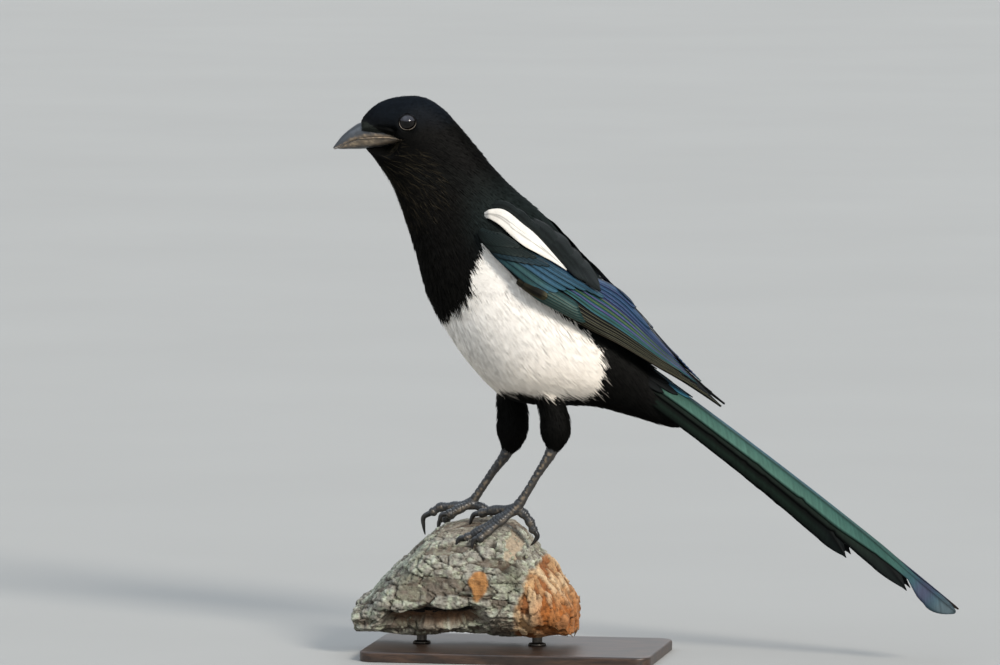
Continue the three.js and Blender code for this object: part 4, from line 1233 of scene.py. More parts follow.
def layWing(surface, far=False):
    w = wingColours
    vanes = VaneSet(10, 8)
    low, gap = wingLines()
    gen = np.random.default_rng(11 if far else 10)

    def lay(path, rows, wide, ending, lift, rise, tilt, camber, tint):  # a covert, from its path to its colours
        s, u, t, line = onWing(path, rows)
        half = [tipProfile(s, reach, *ending) for reach in wide]
        vanes.add(layVane(surface, line, half, lift + rise * s, upOf(u, t), vanes.cell(), tilt, camber), tint)

    # primaries, the lowest one outermost and brown
    for k in range(7):
        f = (k + 0.35) / 7
        end = [8.0, 8.98, 8.55, 8.3, 8.1, 7.9, 7.7][k]
        us = np.linspace(3.0 + 0.08 * k, end, 9)
        ts = mix(low(us), gap(us), f) + 0.02 * gen.normal()
        s, u, t, line = onWing(np.stack([us, ts], axis=1), 30)
        chord = np.interp(u, [3, 4, 5, 6, 7, 8, 9], [30, 37, 42, 32, 21, 12.3, 3])
        span = (gap(u) - low(u)) * chord / 7
        widths = tipProfile(s, 1.0, 0.86, 0.9, 0.7)
        half = (np.maximum(span * 0.62, 0.75) * widths, np.maximum(span * 1.25, 1.1) * widths)
        lift = -1.7 + 0.14 * k + 0.9 * s
        if k < 1:
            tint = vaneTint(w["lowest"], w["lowestEdge"], tip="231d15", edgeFrom=0.86)
        else:
            tint = vaneTint(w["primary"], w["primaryEdge"], tip="1f1b16", edgeFrom=0.86)
        vanes.add(layVane(surface, line, half, lift, upOf(u, t), vanes.cell(), tilt=-0.42, camber=0.15), tint)
    # secondaries and tertials: the blue panel, each upper one over the one below
    count = 10
    for k in range(count):
        f = (k + 0.45) / count
        end = mix(8.25, 6.9, (k / (count - 1)) ** 1.4)
        if k >= 8:
            end = [6.3, 5.6][k - 8]
        us = np.linspace(2.5, end, 9)
        top = np.interp(us, [3, 4, 5, 7, 9], [1.08, 1.08, 1.0, 0.96, 1.0])
        ts = mix(gap(us) + 0.03, top, f)
        s, u, t, line = onWing(np.stack([us, ts], axis=1), 30)
        chord = np.interp(u, [2.5, 3, 4, 5, 6, 7, 8, 9], [26, 30, 37, 42, 32, 21, 12.3, 3])
        span = (1 - gap(u)) * chord / count
        widths = tipProfile(s, 1.0, 0.88, 0.9, 0.6)
        half = (np.maximum(span * 0.70, 0.8) * widths, np.maximum(span * 1.6, 1.6) * widths)
        if k >= 7:
            half = (half[0] * 1.15, half[1] * 1.5)
        lift = -1.0 + 0.13 * k + 0.8 * s
        base = ["green", "teal", "teal", "green", "teal", "violet", "blue", "blue", "blue", "blue"][k]
        edge = ["teal", "green", "purpleEdge", "olive", "purpleEdge", "olive", "violet", "violet", "blue", "violet"][k]
        tip = ["green", "teal", "blue", "violet", "blue", "blue", "blue", "violet", "blue", "blue"][k]
        tint = vaneTint(w[base], w[edge], tip=w[tip], edgeFrom=0.5, shadedUpperEdge="10182a")
        vanes.add(layVane(surface, line, half, lift, upOf(u, t), vanes.cell(), tilt=-0.34, camber=0.2), tint)
    # primary coverts and the alula
    for k in range(6):
        f = (k + 0.4) / 6
        path = [(2.55, mix(0.1, 0.52, f)), (3.3, mix(0.05, 0.50, f)), (mix(4.75, 4.05, f * 0.8), mix(0.10, 0.40, f))]
        tint = vaneTint(w["handCovert"], w["handEdge"], edgeFrom=0.55, shadedUpperEdge="121817")
        lay(path, 16, (1.9, 3.2), (0.8, 0.8), -0.7 + 0.14 * k, 0.15, -0.4, 0.2, tint)
    for k, (a, b, wide) in enumerate([((2.45, 0.10), (3.12, 0.18), 2.6), ((2.65, 0.14), (3.38, 0.24), 2.5)]):
        path = [a, ((a[0] + b[0]) / 2, (a[1] + b[1]) / 2 + 0.01), b]
        tint = vaneTint(w["alula"], "3a3524", tip=w["alulaTip"], root="2a2619", edgeFrom=0.75)
        lay(path, 14, (wide, wide * 1.2), (0.7, 0.7), 0.2 + 0.4 * k, 0.2, -0.2, 0.35, tint)
    # greater coverts, fanned from the bend of the wing
    roots = [(1.0, 0.22), (1.1, 0.38), (1.2, 0.54), (1.35, 0.70), (1.55, 0.84), (1.8, 0.96), (2.2, 1.0)]
    bends = [(2.2, 0.34), (2.3, 0.50), (2.42, 0.66), (2.6, 0.78), (2.85, 0.88), (3.15, 0.92), (3.5, 0.91)]
    ends = [(3.30, 0.38), (3.46, 0.50), (3.58, 0.62), (3.74, 0.72), (3.98, 0.78), (4.28, 0.80), (4.60, 0.78)]
    for k, path in enumerate(zip(roots, bends, ends)):
        base = w["covert"] if k > 1 else w["covertLow"]
        tint = vaneTint(base, "1b3038", tip="315767", edgeFrom=0.82, shadedUpperEdge=w["covertShadedEdge"], root="1f3540")
        lay(path, 18, (2.9, 3.4), (0.8, 0.6), -0.1 + 0.13 * k, 0.3, -0.45, 0.3, tint)
    # median coverts, short and rounded: from and to in u, in t, half width, length, height
    for row, (u0, u9, t0, t9, wide, length, high) in enumerate([(1.45, 2.65, 0.34, 0.95, 3.0, 0.9, 0.75),
                                                                (1.1, 2.2, 0.30, 0.93, 2.8, 0.9, 1.05),
                                                                (0.7, 1.6, 0.30, 0.93, 2.6, 0.8, 1.25)]):
        for k in range(8):
            f = (k + 0.5) / 8
            u1, t1 = mix(u0, u9, f), mix(t0, t9, f)
            path = [(u1 - length, t1 - 0.12 * (1 - f)), (u1 - length / 2, t1 - 0.04), (u1 + 0.12, t1)]
            tint = vaneTint(w["median"] if row == 0 else "17211f", "0e1516", edgeFrom=0.8, vary=0.1)
            lay(path, 10, (wide, wide * 1.15), (0.62, 0.6), high + 0.03 * k, 0.3, -0.2, 0.35, tint)
    return vanes


def wingCore(side):  # the slim dark wing under the vanes
    us = np.linspace(0, 9, 70)
    outer = wingPoint(us[:, None], np.linspace(0.03, 0.97, 12)[None, :])
    n = unit(np.cross(np.gradient(outer, axis=0), np.gradient(outer, axis=1)))
    n = n * np.where(n[..., :1] < 0, -1, 1)
    thick = np.interp(us, range(10), [r[7] for r in wingStations]) * 0.85
    outside = outer - n * (np.minimum(2.4, thick * 0.75))[:, None, None]
    inside = outer - n * thick[:, None, None]
    ring = np.concatenate([outside, inside[:, ::-1]], axis=1)
    points = np.concatenate([ring.reshape(-1, 3), [ring[0].mean(axis=0)], [ring[-1].mean(axis=0)]])
    sides = ring.shape[1]
    faces = [gridFaces(len(us), sides, True), fanCaps(len(points) - 2, sides)[:, ::-1]]
    faces = [f[:, ::-1] for f in faces] if side > 0 else faces
    tint = np.repeat(colour("0f1212")[None], len(points), axis=0)
    name = "wing_core_left" if side > 0 else "wing_core_right"
    return makePiece(name, points * np.array([side, 1, 1]), faces, materials["skin"], tint=tint)


whitePatch = {"upper": [(-11.1, 258.9), (-3.8, 259.9), (1.8, 257.8), (9.5, 251.6), (15.2, 247.2), (21.5, 241.0),
                        (27, 235.0), (35.6, 225.1)],
              "lower": [(-10.8, 256.1), (-2.2, 251.6), (5.7, 244.4), (13.4, 238.2), (20.5, 234.6), (24.5, 232.3),
                        (28.6, 229.9), (36.2, 224.6)]}


def outerSurface():  # body and folded wings as one thing to cast onto
    rings, _, _, body = bodyGrid(0.2, 72, lambda u: 0.9)
    body = body.reshape(-1, 3)
    middle = np.repeat(body.reshape(rings, 72, 3).mean(axis=1), 72, axis=0)
    quads = outward(body, [gridFaces(rings, 72, True)], middle)[0]
    grid, wingQuads = wingGrid(np.linspace(0, 9, 100), np.linspace(0, 1, 22))
    wing = grid.reshape(-1, 3)
    points = np.concatenate([body, wing, wing * np.array([-1, 1, 1])])
    quads = np.concatenate([quads, wingQuads + len(body), wingQuads[:, ::-1] + len(body) + len(wing)])
    return Surface(points, triangles(quads), np.zeros_like(points), np.zeros((len(points), 2)))


def castOn(surface, starts, ways):  # the first hit from outside; where there is none, the nearest point
    spots, normals = [], []
    for s, w in zip(starts.tolist(), ways.tolist()):
        hit = surface.tree.ray_cast(Vector(s), Vector(w))
        if hit[0] is None:
            hit = surface.tree.find_nearest(Vector(s) + Vector(w) * 30)
        spots.append(tuple(hit[0]))
        normals.append(tuple(hit[1]))
    return np.array(spots), np.array(normals)


def castVane(surface, grid, ways, lift, cell, camber=0.3, smooth=4, tilt=0.0, shaft=1.0):
    # a vane from a grid of start points outside the bird, dropped onto it
    rows, cols = grid.shape[:2]
    spots, normals = castOn(surface, grid.reshape(-1, 3), ways.reshape(-1, 3))
    spots, normals = spots.reshape(rows, cols, 3), normals.reshape(rows, cols, 3)
    for _ in range(smooth):
        for v in (spots, normals):
            v[1:-1] = (v[:-2] + 2 * v[1:-1] + v[2:]) / 4
            v[:, 1:-1] = (v[:, :-2] + 2 * v[:, 1:-1] + v[:, 2:]) / 4
    normals = unit(normals)
    ridge = vane["shaft"] * 0.6 * shaft * onShaft
    height = lift[:, None] + camber * (1 - acrossSteps[None] ** 2) + ridge[None] + tilt * acrossSteps[None]
    top = spots + normals * height[..., None]
    bottom = top - normals * (vane["thick"] * thinning + ridge)[None, :, None]
    along = runOf(spots[:, cols // 2])
    wide = np.linalg.norm(spots[:, -1] - spots[:, 0], axis=1) / 2
    return shell(top, bottom, cell, along / along[-1], along[:, None] - np.abs(acrossSteps)[None] * wide[:, None])


beside = 70.0  # how far beside the bird's middle a vane starts before it is dropped


def besideBird(flat, side):  # start points for places in the bird's side view, and the way to it
    grid = np.concatenate([np.full((*flat.shape[:2], 1), beside * side), flat], axis=2)
    return grid, np.broadcast_to(np.array([-1.0 * side, 0, 0]), grid.shape)


def sideGrid(line, half, side):  # a vane drawn in the bird's side view
    ahead = unit(np.gradient(line, axis=0))
    across = np.stack([ahead[:, 1], -ahead[:, 0]], axis=1)
    across = across * np.sign(across[:, 1:2].mean() + 1e-9)
    return besideBird(line[:, None] + across[:, None] * (half[:, None] * acrossSteps[None])[..., None], side)


def whiteScapulars(surface, side):
    vanes = VaneSet(6, 5)
    upper, lower = np.array(whitePatch["upper"]), np.array(whitePatch["lower"])
    # one broad vane fills the patch, narrower ones lie on it
    for a, b, f, wide in [(0.0, 1.0, 0.5, 1.0), (0.04, 0.52, 0.58, 0.45), (0.2, 0.7, 0.4, 0.4),
                          (0.38, 0.92, 0.52, 0.4)]:
        s = np.linspace(0, 1, 60 if wide == 1 else 24)
        at = mix(a, b, s) * (len(upper) - 1)
        top, bottom = alongTable(upper, at), alongTable(lower, at)
        reach = wide * (1 + 0.03 * softNoise(np.stack([at * 9, at, at], 1), 1.5, 6))
        if wide < 1:
            reach = reach * tipProfile(s, 1.0, 0.7, 0.8, 0.6)
        half = (top - bottom) * 0.5 * reach[:, None]
        flat = mix(bottom, top, f)[:, None] + half[:, None] * acrossSteps[None, :, None]
        grid, ways = besideBird(flat, side)
        lift = mix(-0.8 * (a < 0.02), 2.1, ramp(s, 0, 0.2 if wide < 1 else 0.06)) + (0.85 if wide < 1 else 0.6)
        # painted shade: the white scapulars are painted greyer than the belly's white, to hold down the stronger light
        # they catch
        tint = vaneTint("dedad2", "dad5cc", root="dad5cc")
        vanes.add(castVane(surface, grid, ways, lift, vanes.cell(), camber=0.3 if wide == 1 else 0.15, smooth=12,
                           tilt=0.35, shaft=0.3), tint)
    return vanes


blackScapularLines = [  # side-view lines (y, z) from root to tip, half width, height
    ([(-12, 264), (0, 261.5), (11, 254)], 2.6, 1.2), ([(-2, 263), (9, 255.5), (18, 246)], 2.8, 1.4),
    ([(5, 259), (16, 249), (25.5, 238.5)], 2.8, 1.6), ([(12, 253), (23, 242), (32.5, 230.5)], 2.8, 1.8),
    ([(10, 257), (22, 246.5), (32, 235)], 3.2, 1.7), ([(17, 249.5), (28, 237.5), (38.5, 225)], 3.0, 2.0),
    ([(19, 251), (30, 239), (40, 226.5)], 3.2, 2.1), ([(24, 244), (35, 231), (45.5, 218.5)], 3.0, 2.3),
    ([(27, 243), (38, 230), (48, 217)], 3.0, 2.4), ([(32, 237), (43.5, 224.5), (54.6, 212.4)], 2.8, 2.6)]


def blackScapulars(surface, side):
    vanes = VaneSet(6, 4)
    for k, (line, wide, high) in enumerate(blackScapularLines):
        s = np.linspace(0, 1, 20)
        path = alongTable(line, s * 2)
        half = tipProfile(s, wide * 1.1, 0.45, 0.7, 0.9)
        grid, ways = sideGrid(path, half, side)
        tint = vaneTint("161c1b", "0c1010", tip="1a211f", root="121716", vary=0.1)
        lift = mix(-1.8, high, ramp(s, 0, 0.5)) + 0.35 * s
        vanes.add(castVane(surface, grid, ways, lift, vanes.cell(), camber=0.4), tint)
    return vanes


tail = {"y": 79, "z": 170.4, "slope": 36.9, "length": 229, "arch": 2.2, "wide": (14.5, 10.5), "drop": (15.5, 25.5),
        "step": 0.75, "rightLayer": 0.35, "thick": 0.5}

tailFeathers = [(1, 18.5, 33, 17), (0.87, 36, 27, 0), (0.7, 61, 28, 0), (0.61, 63, 26, 0), (0.53, 65, 25, 0),
                (0.46, 67, 24, 0)]  # reach, middle angle, half angle, flare


def tailPoint(p, angle, depth):  # p along the tail, angle round its arch, depth below its top face
    slope = math.radians(tail["slope"])
    along, lift = p * tail["length"], tail["arch"] * 4 * p * (1 - p)
    y = tail["y"] + math.cos(slope) * along + math.sin(slope) * lift
    z = tail["z"] - math.sin(slope) * along + math.cos(slope) * lift
    wide, drop = mix(*tail["wide"], p), mix(*tail["drop"], p**2)
    a = np.radians(angle)
    out = (wide - depth) * np.sin(a)
    down = drop * (1 - np.cos(a)) + depth * np.cos(a)
    return np.stack([out, y - math.sin(slope) * down, z - math.cos(slope) * down], axis=-1)


def tailTint(layer, far):
    def tintOf(across, along, points):
        if layer == 0:
            out = mixTint("34554e", ("45665b", ramp(across, -0.2, 0.5) * ramp(0.8 - along, 0, 0.4)),
                          ("2c5268", ramp(-across, 0.0, 0.7) * ramp(0.75 - along, 0, 0.3)),
                          ("1c2f29", ramp(across, 0.80, 1.0)), ("34505c", ramp(along, 0.80, 0.90)),
                          ("0d1413", ramp(-across, 0.84, 0.98) * ramp(along, 0.58, 0.70)),
                          ("3d4356", ramp(along, 0.86, 0.90) * ramp(0.95 - along, 0.0, 0.04)),
                          ("445258", ramp(along, 0.92, 0.97)))
            if far:
                out = mix(out, colour("232c46"), ramp(along, 0.70, 0.86)[:, None] * 0.8)
                out = mix(out, colour("3a2e26"), ramp(along, 0.95, 0.99)[:, None])
        else:
            # the side feathers: their own dark green-black, deepened to near-black as painted shade of the tail's lower
            # slope
            out = mixTint("050706", ("13211a", ramp(across, 0.1, 0.5) * ramp(1 - across, 0.05, 0.35) * 0.9),
                          ("0d1213", ramp(along, 0.75, 0.95) * 0.8))
        out = out * (1 - 0.5 * (np.abs(across) < 0.06))[:, None]
        return out * (1 + 0.10 * softNoise(points, 9.0, 3))[:, None]
    return tintOf


def tailVane(p, shift, angle, depths, side, cell, share, wide):
    # a vane on the tail's arch: angles across it, depths of its upper and lower face, half width along it
    top, bottom = (tailPoint(p[:, None] + shift, angle, d) * np.array([side, 1, 1]) for d in depths)
    barb = (p * tail["length"])[:, None] - np.abs(acrossSteps) * np.reshape(wide, (-1, 1))
    return shell(top, bottom, cell, share, barb)


def makeTail():
    vanes = VaneSet(6, 2)
    gen = np.random.default_rng(5)
    for layer in range(len(tailFeathers) - 1, -1, -1):
        reach, middle, halfAngle, flare = tailFeathers[layer]
        for side in (1, -1):
            rows = 84
            t = np.linspace(0, 1, rows) ** 0.92
            p = t * reach
            past = np.clip((t - 0.94) / 0.06, 0, 1)
            blunt = np.sqrt(np.maximum(1 - 0.93 * past**2, 0.0))
            if layer:  # the side feathers end in a blunt point
                past = np.clip((t - 0.88) / 0.12, 0, 1)
                blunt = np.maximum(1 - past**1.3, 0.04)
            wiggle = 1 + 0.012 * np.sin(t * 31 + layer) + 0.01 * gen.normal(0, 1, rows).cumsum() / 9
            spread = halfAngle * blunt * wiggle
            for cut in gen.uniform(0.25, 0.97, 5):  # a few barbs parted at the edges
                spread = spread * (1 - gen.uniform(0.05, 0.16) * np.exp(-((t - cut) / 0.007) ** 2))
            inner, outerEdge, centre = spread.copy(), spread.copy(), middle + (layer > 0) * 0.7 * halfAngle * past
            if flare:  # the long middle pair: narrow at the waist, then a spoon-shaped end
                waist = ramp(t, 0.66, 0.88)
                centre = middle + 8 * waist
                inner = spread * (1 - 0.68 * waist) + 4 * np.sin(np.pi * np.maximum(0, (t - 0.85) / 0.2)) ** 2
                outerEdge = spread * (1 - 0.62 * ramp(t, 0.60, 0.87)) + flare * np.sin(
                    np.pi * np.maximum(0, (t - 0.855) / 0.155))
                if side < 0:
                    centre, inner = middle - 4 * waist, spread * (1 - 0.35 * waist)
                    outerEdge = spread * (1 - 0.4 * ramp(t, 0.8, 0.92))
            reaches = np.where(acrossSteps[None] < 0, inner[:, None], outerEdge[:, None])
            angle = centre[:, None] + reaches * acrossSteps[None]
            depth = layer * tail["step"] + (tail["rightLayer"] if side < 0 else 0)
            ridge = 0.22 * onShaft
            notch = -0.004 * acrossSteps**2 * past[:, None] * reach
            depths = (depth - ridge, depth + tail["thick"] * thinning + ridge * 0.5)
            made = tailVane(p, notch, angle, depths, side, vanes.cell(), t, 13 * np.radians(spread))
            vanes.add(made, tailTint(layer, side < 0))
    return vanes


def tailCoverts(side):  # short vanes over the root of the tail
    vanes = VaneSet(6, 3)
    table = [(-0.06, 0.145, 14, 13, -0.8), (-0.07, 0.115, 32, 11, -0.9), (-0.08, 0.085, 50, 9, -0.7),
             (-0.10, 0.08, 22, 11, -1.3), (-0.12, 0.03, 10, 12, -1.8)]
    for k, (a, b, angle, half, depth) in enumerate(table):
        s = np.linspace(0, 1, 18)
        p = mix(a, b, s)
        spread = half * tipProfile(s, 1.0, 0.7, 0.8, 0.55)
        deep = depth * mix(0.6, 1.0, s)[:, None] - 0.3 * (1 - acrossSteps[None] ** 2)
        around = angle + spread[:, None] * acrossSteps[None]
        made = tailVane(p, 0, around, (deep, deep + 0.35), side, vanes.cell(), s, 4)
        blue = k == 0
        tint = vaneTint("2f5b70" if blue else "0b0e0f", "1a2f3a" if blue else "080a0b",
                        tip="3a7084" if blue else "0d1213", root="0a0d0e")
        vanes.add(made, tint)
    return vanes


toe = {"radius": 2.85, "taper": 0.36, "voxel": 0.42, "knuckle": 0.13}
clawShape = {"root": 1.75, "middle": 1.3, "tip": 0.3}
scutes = {"tarsus": 3.4, "toe": 1.9, "deep": 0.28, "high": 0.16}


def legShape(leg):
    parts, samples = [], []
    rows = alongTable(leg["tarsus"], np.linspace(0, 4, 50))
    swell = 1.12 + 0.10 * np.exp(-((np.linspace(0, 4, 50) - 1.0) / 0.25) ** 2)
    parts.append(tubeMesh(rows[:, :3], rows[:, 3] * swell, 24))
    samples.append((rows[:, :3], scutes["tarsus"]))
    for name, path in leg["toes"].items():
        bare = path[:-2]
        s = np.linspace(0, len(bare) - 1, 36)
        points = alongTable(bare, s)
        t = s / s[-1]
        radii = toe["radius"] - toe["taper"] * t
        radii = radii * (1 + toe["knuckle"] * np.cos(t * np.pi * 2 * (len(bare) - 1)))
        parts.append(tubeMesh(points, radii, 20))
        samples.append((points, scutes["toe"]))
    return parts, samples


def makeLeg(side):
    leg = legPaths[side]
    parts, samples = legShape(leg)
    points, quads, caps = joinMeshes(parts)
    piece = makePiece("leg_scales_" + side, points, [quads, caps], None)
    remeshed(piece, toe["voxel"], 3)
    points, normals = readPoints(piece.data), readNormals(piece.data)
    rows = []  # along each bare length: run, which it is, pitch of its scutes, the way ahead, the place
    for kind, (path, pitch) in enumerate(samples):
        ways = unit(np.gradient(path, axis=0))
        rows += [(r, kind, pitch, *d, *p) for p, r, d in zip(path.tolist(), runOf(path), ways)]
    rows = np.array(rows)
    tree = pointTree(rows[:, 6:9])
    row = rows[[tree.find(p)[1] for p in points.tolist()]]
    ahead, centre = row[:, 3:6], row[:, 6:9]
    run = row[:, 0] + ((points - centre) * ahead).sum(axis=1)
    isTarsus = row[:, 1] == 0
    front = np.where(isTarsus[:, None], unit(np.array([0, -0.83, -0.55])), np.array([0, -0.2, 0.98]))
    front = unit(front - ahead * (front * ahead).sum(axis=1, keepdims=True))
    facing = (normals * front).sum(axis=1)
    phase = run / row[:, 2] + 0.10 * softNoise(points, 2.5, 1)
    groove = np.exp(-(np.abs(phase - np.round(phase)) / 0.10) ** 2)
    plate = ramp(facing, -0.15, 0.25)
    pads = ramp(-facing, 0.2, 0.7)
    net = np.abs(softNoise(points, 1.1, 6))
    push = (scutes["high"] * (1 - groove) - scutes["deep"] * groove) * plate + (net - 0.35) * 0.22 * (1 - plate)
    push += 0.10 * softNoise(points, 3.0, 2) + 0.12 * pads * softNoise(points, 1.3, 7)
    writePoints(piece.data, points + normals * push[:, None])
    lumps = softNoise(points, 1.6, 3)
    sideways = 1 - np.abs(facing)
    tint = mixTint("26282b", ("575047", ramp(sideways, 0.30, 0.85) * ramp(lumps, -0.5, 0.4) * 0.9),
                   ("85745f", ramp(sideways, 0.45, 0.9) * ramp(lumps, 0.0, 0.6) * mix(0.25, 0.85, isTarsus)),
                   ("0a0a0b", groove * plate * 0.8), ("35302a", pads * 0.7),
                   # painted reflection: the scales facing the tarsus's front and the tops of the toes are painted
                   # blue-grey, standing in for the sky
                   ("2c3238", ramp(facing, 0.6, 0.95) * 0.6))
    declare(paint(piece, tint, materials["scales"]), "leg_scale", "leg_" + side)


def makeClaws():
    parts = []
    for leg in legPaths.values():
        for path in leg["toes"].values():
            base, root, tip = (np.array(v, float) for v in path[-3:])
            start = mix(base, root, 0.15)
            line = alongTable([start, root, mix(root, tip, 0.55) + unit(root - base) * 0.5, tip], np.linspace(0, 3, 22))
            thick = [1.5, clawShape["root"], clawShape["middle"], clawShape["tip"]]
            radii = np.interp(np.linspace(0, 1, 22), [0, 0.12, 0.5, 1], thick)
            parts.append(tubeMesh(line, radii, 14))
    points, quads, caps = joinMeshes(parts)
    lumps = softNoise(points, 1.4, 2)
    tint = mixTint("0c0b0b", ("2a2622", ramp(lumps, 0.2, 0.8) * 0.6))
    piece = makePiece("claws", points, [quads, caps], materials["claw"], tint=tint)
    nodes = ["claw_%s_%s" % (s, t) for s in ("left", "right") for t in ("inner", "middle", "outer", "hind")]
    declare(piece, "claw_horn", *nodes)


branch = {"voxel": 0.85}


def barkMaterial():
    material, tree, shader = newMaterial("bark", Roughness=0.9, Specular_IOR_Level=0.3)
    tint, place = tintAndPlace(tree)
    mottle = useGroup(tree, groups["mottle"], Place=place, Size=260.0, Grain=1400.0, Contrast=2.0)
    stretched = node(tree, "Mapping", Vector=place, Scale=(1.0, 0.22, 1.0))
    fibre = node(tree, "TexNoise", Vector=stretched.outputs[0], Scale=700.0, Detail=5.0, Roughness=0.7).outputs[0]
    spots = node(tree, "TexVoronoi", Vector=place, Scale=420.0).outputs["Distance"]
    crust = node(tree, "MapRange", Value=spots, From_Min=0.15, From_Max=0.45, To_Min=1.0, To_Max=0.0)
    patches = node(tree, "TexNoise", Vector=place, Scale=60.0, Detail=3.0).outputs[0]
    where = node(tree, "MapRange", Value=patches, From_Min=0.52, From_Max=0.64)
    bare = node(tree, "Attribute", attribute_name="bark").outputs["Fac"]
    lichen = node(tree, "Math", operation="MULTIPLY", i0=crust.outputs[0], i1=where.outputs[0])
    lichen = node(tree, "Math", operation="MULTIPLY", i0=lichen.outputs[0], i1=bare)
    shade = colourSteps(tree, mottle["Mask"], [(0.15, 0.45), (0.5, 0.85), (0.85, 1.0)])
    grain = colourSteps(tree, fibre, [(0.3, 0.62), (0.65, 1.0)])
    base = multiplied(tree, multiplied(tree, tint, shade), grain)
    tree.links.new(blendColours(tree, lichen.outputs[0], base, "a9ab97"), shader.inputs["Base Color"])
    both = node(tree, "Math", operation="ADD", i0=fibre, i1=mottle["Height"])
    tree.links.new(bump(tree, both.outputs[0], 0.8, 0.6), shader.inputs["Normal"])
    return material


def cells(points, seeds):  # cells about scattered seeds: distance from the cell's edge and a value of its own
    tree = pointTree(points[seeds])
    near = [tree.find_n(p, 2) for p in points.tolist()]
    edge = np.array([(b[2] - a[2]) for a, b in near])
    own = np.array([a[1] for a, b in near]) * 0.6180339 % 1.0
    return {"edge": edge, "own": own}


def makePerch():
    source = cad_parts["perch_branch"]
    piece = bpy.data.objects.new("branch_bark", source.data.copy())
    scene.collection.objects.link(piece)
    weld = piece.modifiers.new("weld", "WELD")
    weld.merge_threshold = 0.00001
    bakedCopy(piece)
    remeshed(piece, branch["voxel"], 4)
    points, normals = readPoints(piece.data), readNormals(piece.data)
    x, y, z = points.T
    gen = np.random.default_rng(31)
    long = points * np.array([1, 0.45, 1])
    tall = points * np.array([1, 1, 0.28])
    plates = cells(long, gen.choice(len(points), 420, replace=False))
    scales = cells(points * np.array([1, 0.7, 1]), gen.choice(len(points), 3200, replace=False))
    slivers = cells(tall, gen.choice(len(points), 900, replace=False))
    # the broken end, the ledge with its hollow, the knot and the strip of bare wood
    end = ramp(y - np.interp(z, [12, 22, 45, 62, 76], [3, 5, 12, 21, 33]) + 2.0 * softNoise(points, 5, 6), 0, 3.5)
    hollowLine = 23 + 0.10 * (y + 45) + 1.6 * softNoise(points * np.array([0, 1, 0]), 7, 5)
    hollow = ramp(6.5 - np.abs(z - hollowLine), 0, 2.4) * ramp(y, -74, -62) * ramp(-y, 6, 24)
    hollow = hollow * ramp(np.abs(normals[:, 0]), 0.2, 0.6)
    brow = np.exp(-((z - hollowLine - 7.5) / 3.0) ** 2) * ramp(y, -76, -64) * ramp(-y, 14, 28)
    knotAt = np.linalg.norm((points[:, 1:] - np.array([-13, 44])) / np.array([5.2, 8.0]), axis=1)
    knot = ramp(1.15 + 0.45 * softNoise(points, 5, 13) - knotAt, 0, 0.3) * (x > 0) * (1 - end)
    peeledAt = ((y - 6) / 4.5) ** 2 + ((z - 68) / 9) ** 2
    peeled = ramp(1.2 + 0.7 * softNoise(points, 3, 17) - peeledAt, 0, 0.5) * (x > 6)
    top = ramp(normals[:, 2], 0.3, 0.8)
    held = ramp(z, 68, 75) * top  # kept low where the feet hold on
    crack = ramp(0.55 - plates["edge"], 0, 0.55)
    fine = ramp(0.30 - scales["edge"], 0, 0.3)
    bark = (plates["own"] - 0.5) * 2.2 - 1.7 * crack + (scales["own"] - 0.5) * 1.1 - 0.5 * fine
    bark += 1.3 * softNoise(points, 15, 3) + 0.35 * softNoise(points, 1.8, 4)
    wood = (slivers["own"] - 0.5) * 2.6 - 0.9 * ramp(0.4 - slivers["edge"], 0, 0.4) + 1.6 * softNoise(points, 9, 7)
    bare = np.clip(end + 0.8 * hollow, 0, 1)
    push = mix(bark, wood, bare) * (1 - 0.75 * held) * (1 - 0.7 * np.maximum(knot, peeled))
    push = push - 0.9 - 7.5 * hollow + 1.5 * brow + 0.5 * knot - 0.6 * peeled
    push = np.where(z < 14, np.minimum(push, -0.4), push)
    writePoints(piece.data, points + normals * push[:, None])
    grey = softNoise(points, 20, 8)
    moss = np.exp(-(((y - 8) / 5) ** 2 + ((z - 50) / 8) ** 2)) * (x > 0)
    moss = moss + ramp(softNoise(points, 11, 14), 0.35, 0.7) * 0.5
    speck = ramp(softNoise(points, 2.6, 15) + 0.5 * grey, 0.05, 0.5)
    tint = mixTint("a29e92", ("83735f", ramp(-grey, 0.1, 0.6) * 0.6), ("bac0aa", speck * 0.85),
                   ("cfd1c2", ramp(scales["own"], 0.68, 0.9) * speck * 0.7), ("5c6248", np.clip(moss, 0, 1) * 0.55),
                   # painted shade: the cracks between bark plates and the finer cracks between scales are painted dark
                   # brown
                   ("2a1f16", crack * 0.9), ("3f3226", fine * 0.55),
                   ("5a4636", ramp(0.35 - plates["own"], 0, 0.2) * 0.6), ("6b4c33", hollow * 0.9),
                   # painted shadow: the top of the hollow, under the ledge, is painted near-black
                   ("120c08", ramp(hollow, 0.3, 0.8) * ramp(z - hollowLine, -2.5, 0.5)),
                   ("b9834c", knot * 0.95), ("8a5a30", knot * ramp(softNoise(tall, 1.6, 16), 0.0, 0.6) * 0.6),
                   ("b3a189", peeled * 0.85),
                   ("c0976a", end * 0.95), ("dcc09a", end * ramp(slivers["own"], 0.55, 0.8) * 0.8),
                   ("8c4f22", end * ramp(0.42 - slivers["own"], 0, 0.2) * 0.85),
                   ("a8632a", end * ramp(45 - z, 0, 18) * ramp(y, 12, 26) * 0.8),
                   ("4a2c17", end * ramp(0.25 - slivers["edge"], 0, 0.2) * 0.7))
    paint(piece, tint, materials["bark"], {"bark": (1 - bare) * (1 - peeled) * (1 - knot)})
    declare(piece, "bark", "perch_branch")
    print("branch_bark", len(piece.data.polygons) * 2, "triangles")
    return piece


flakeSides = 9


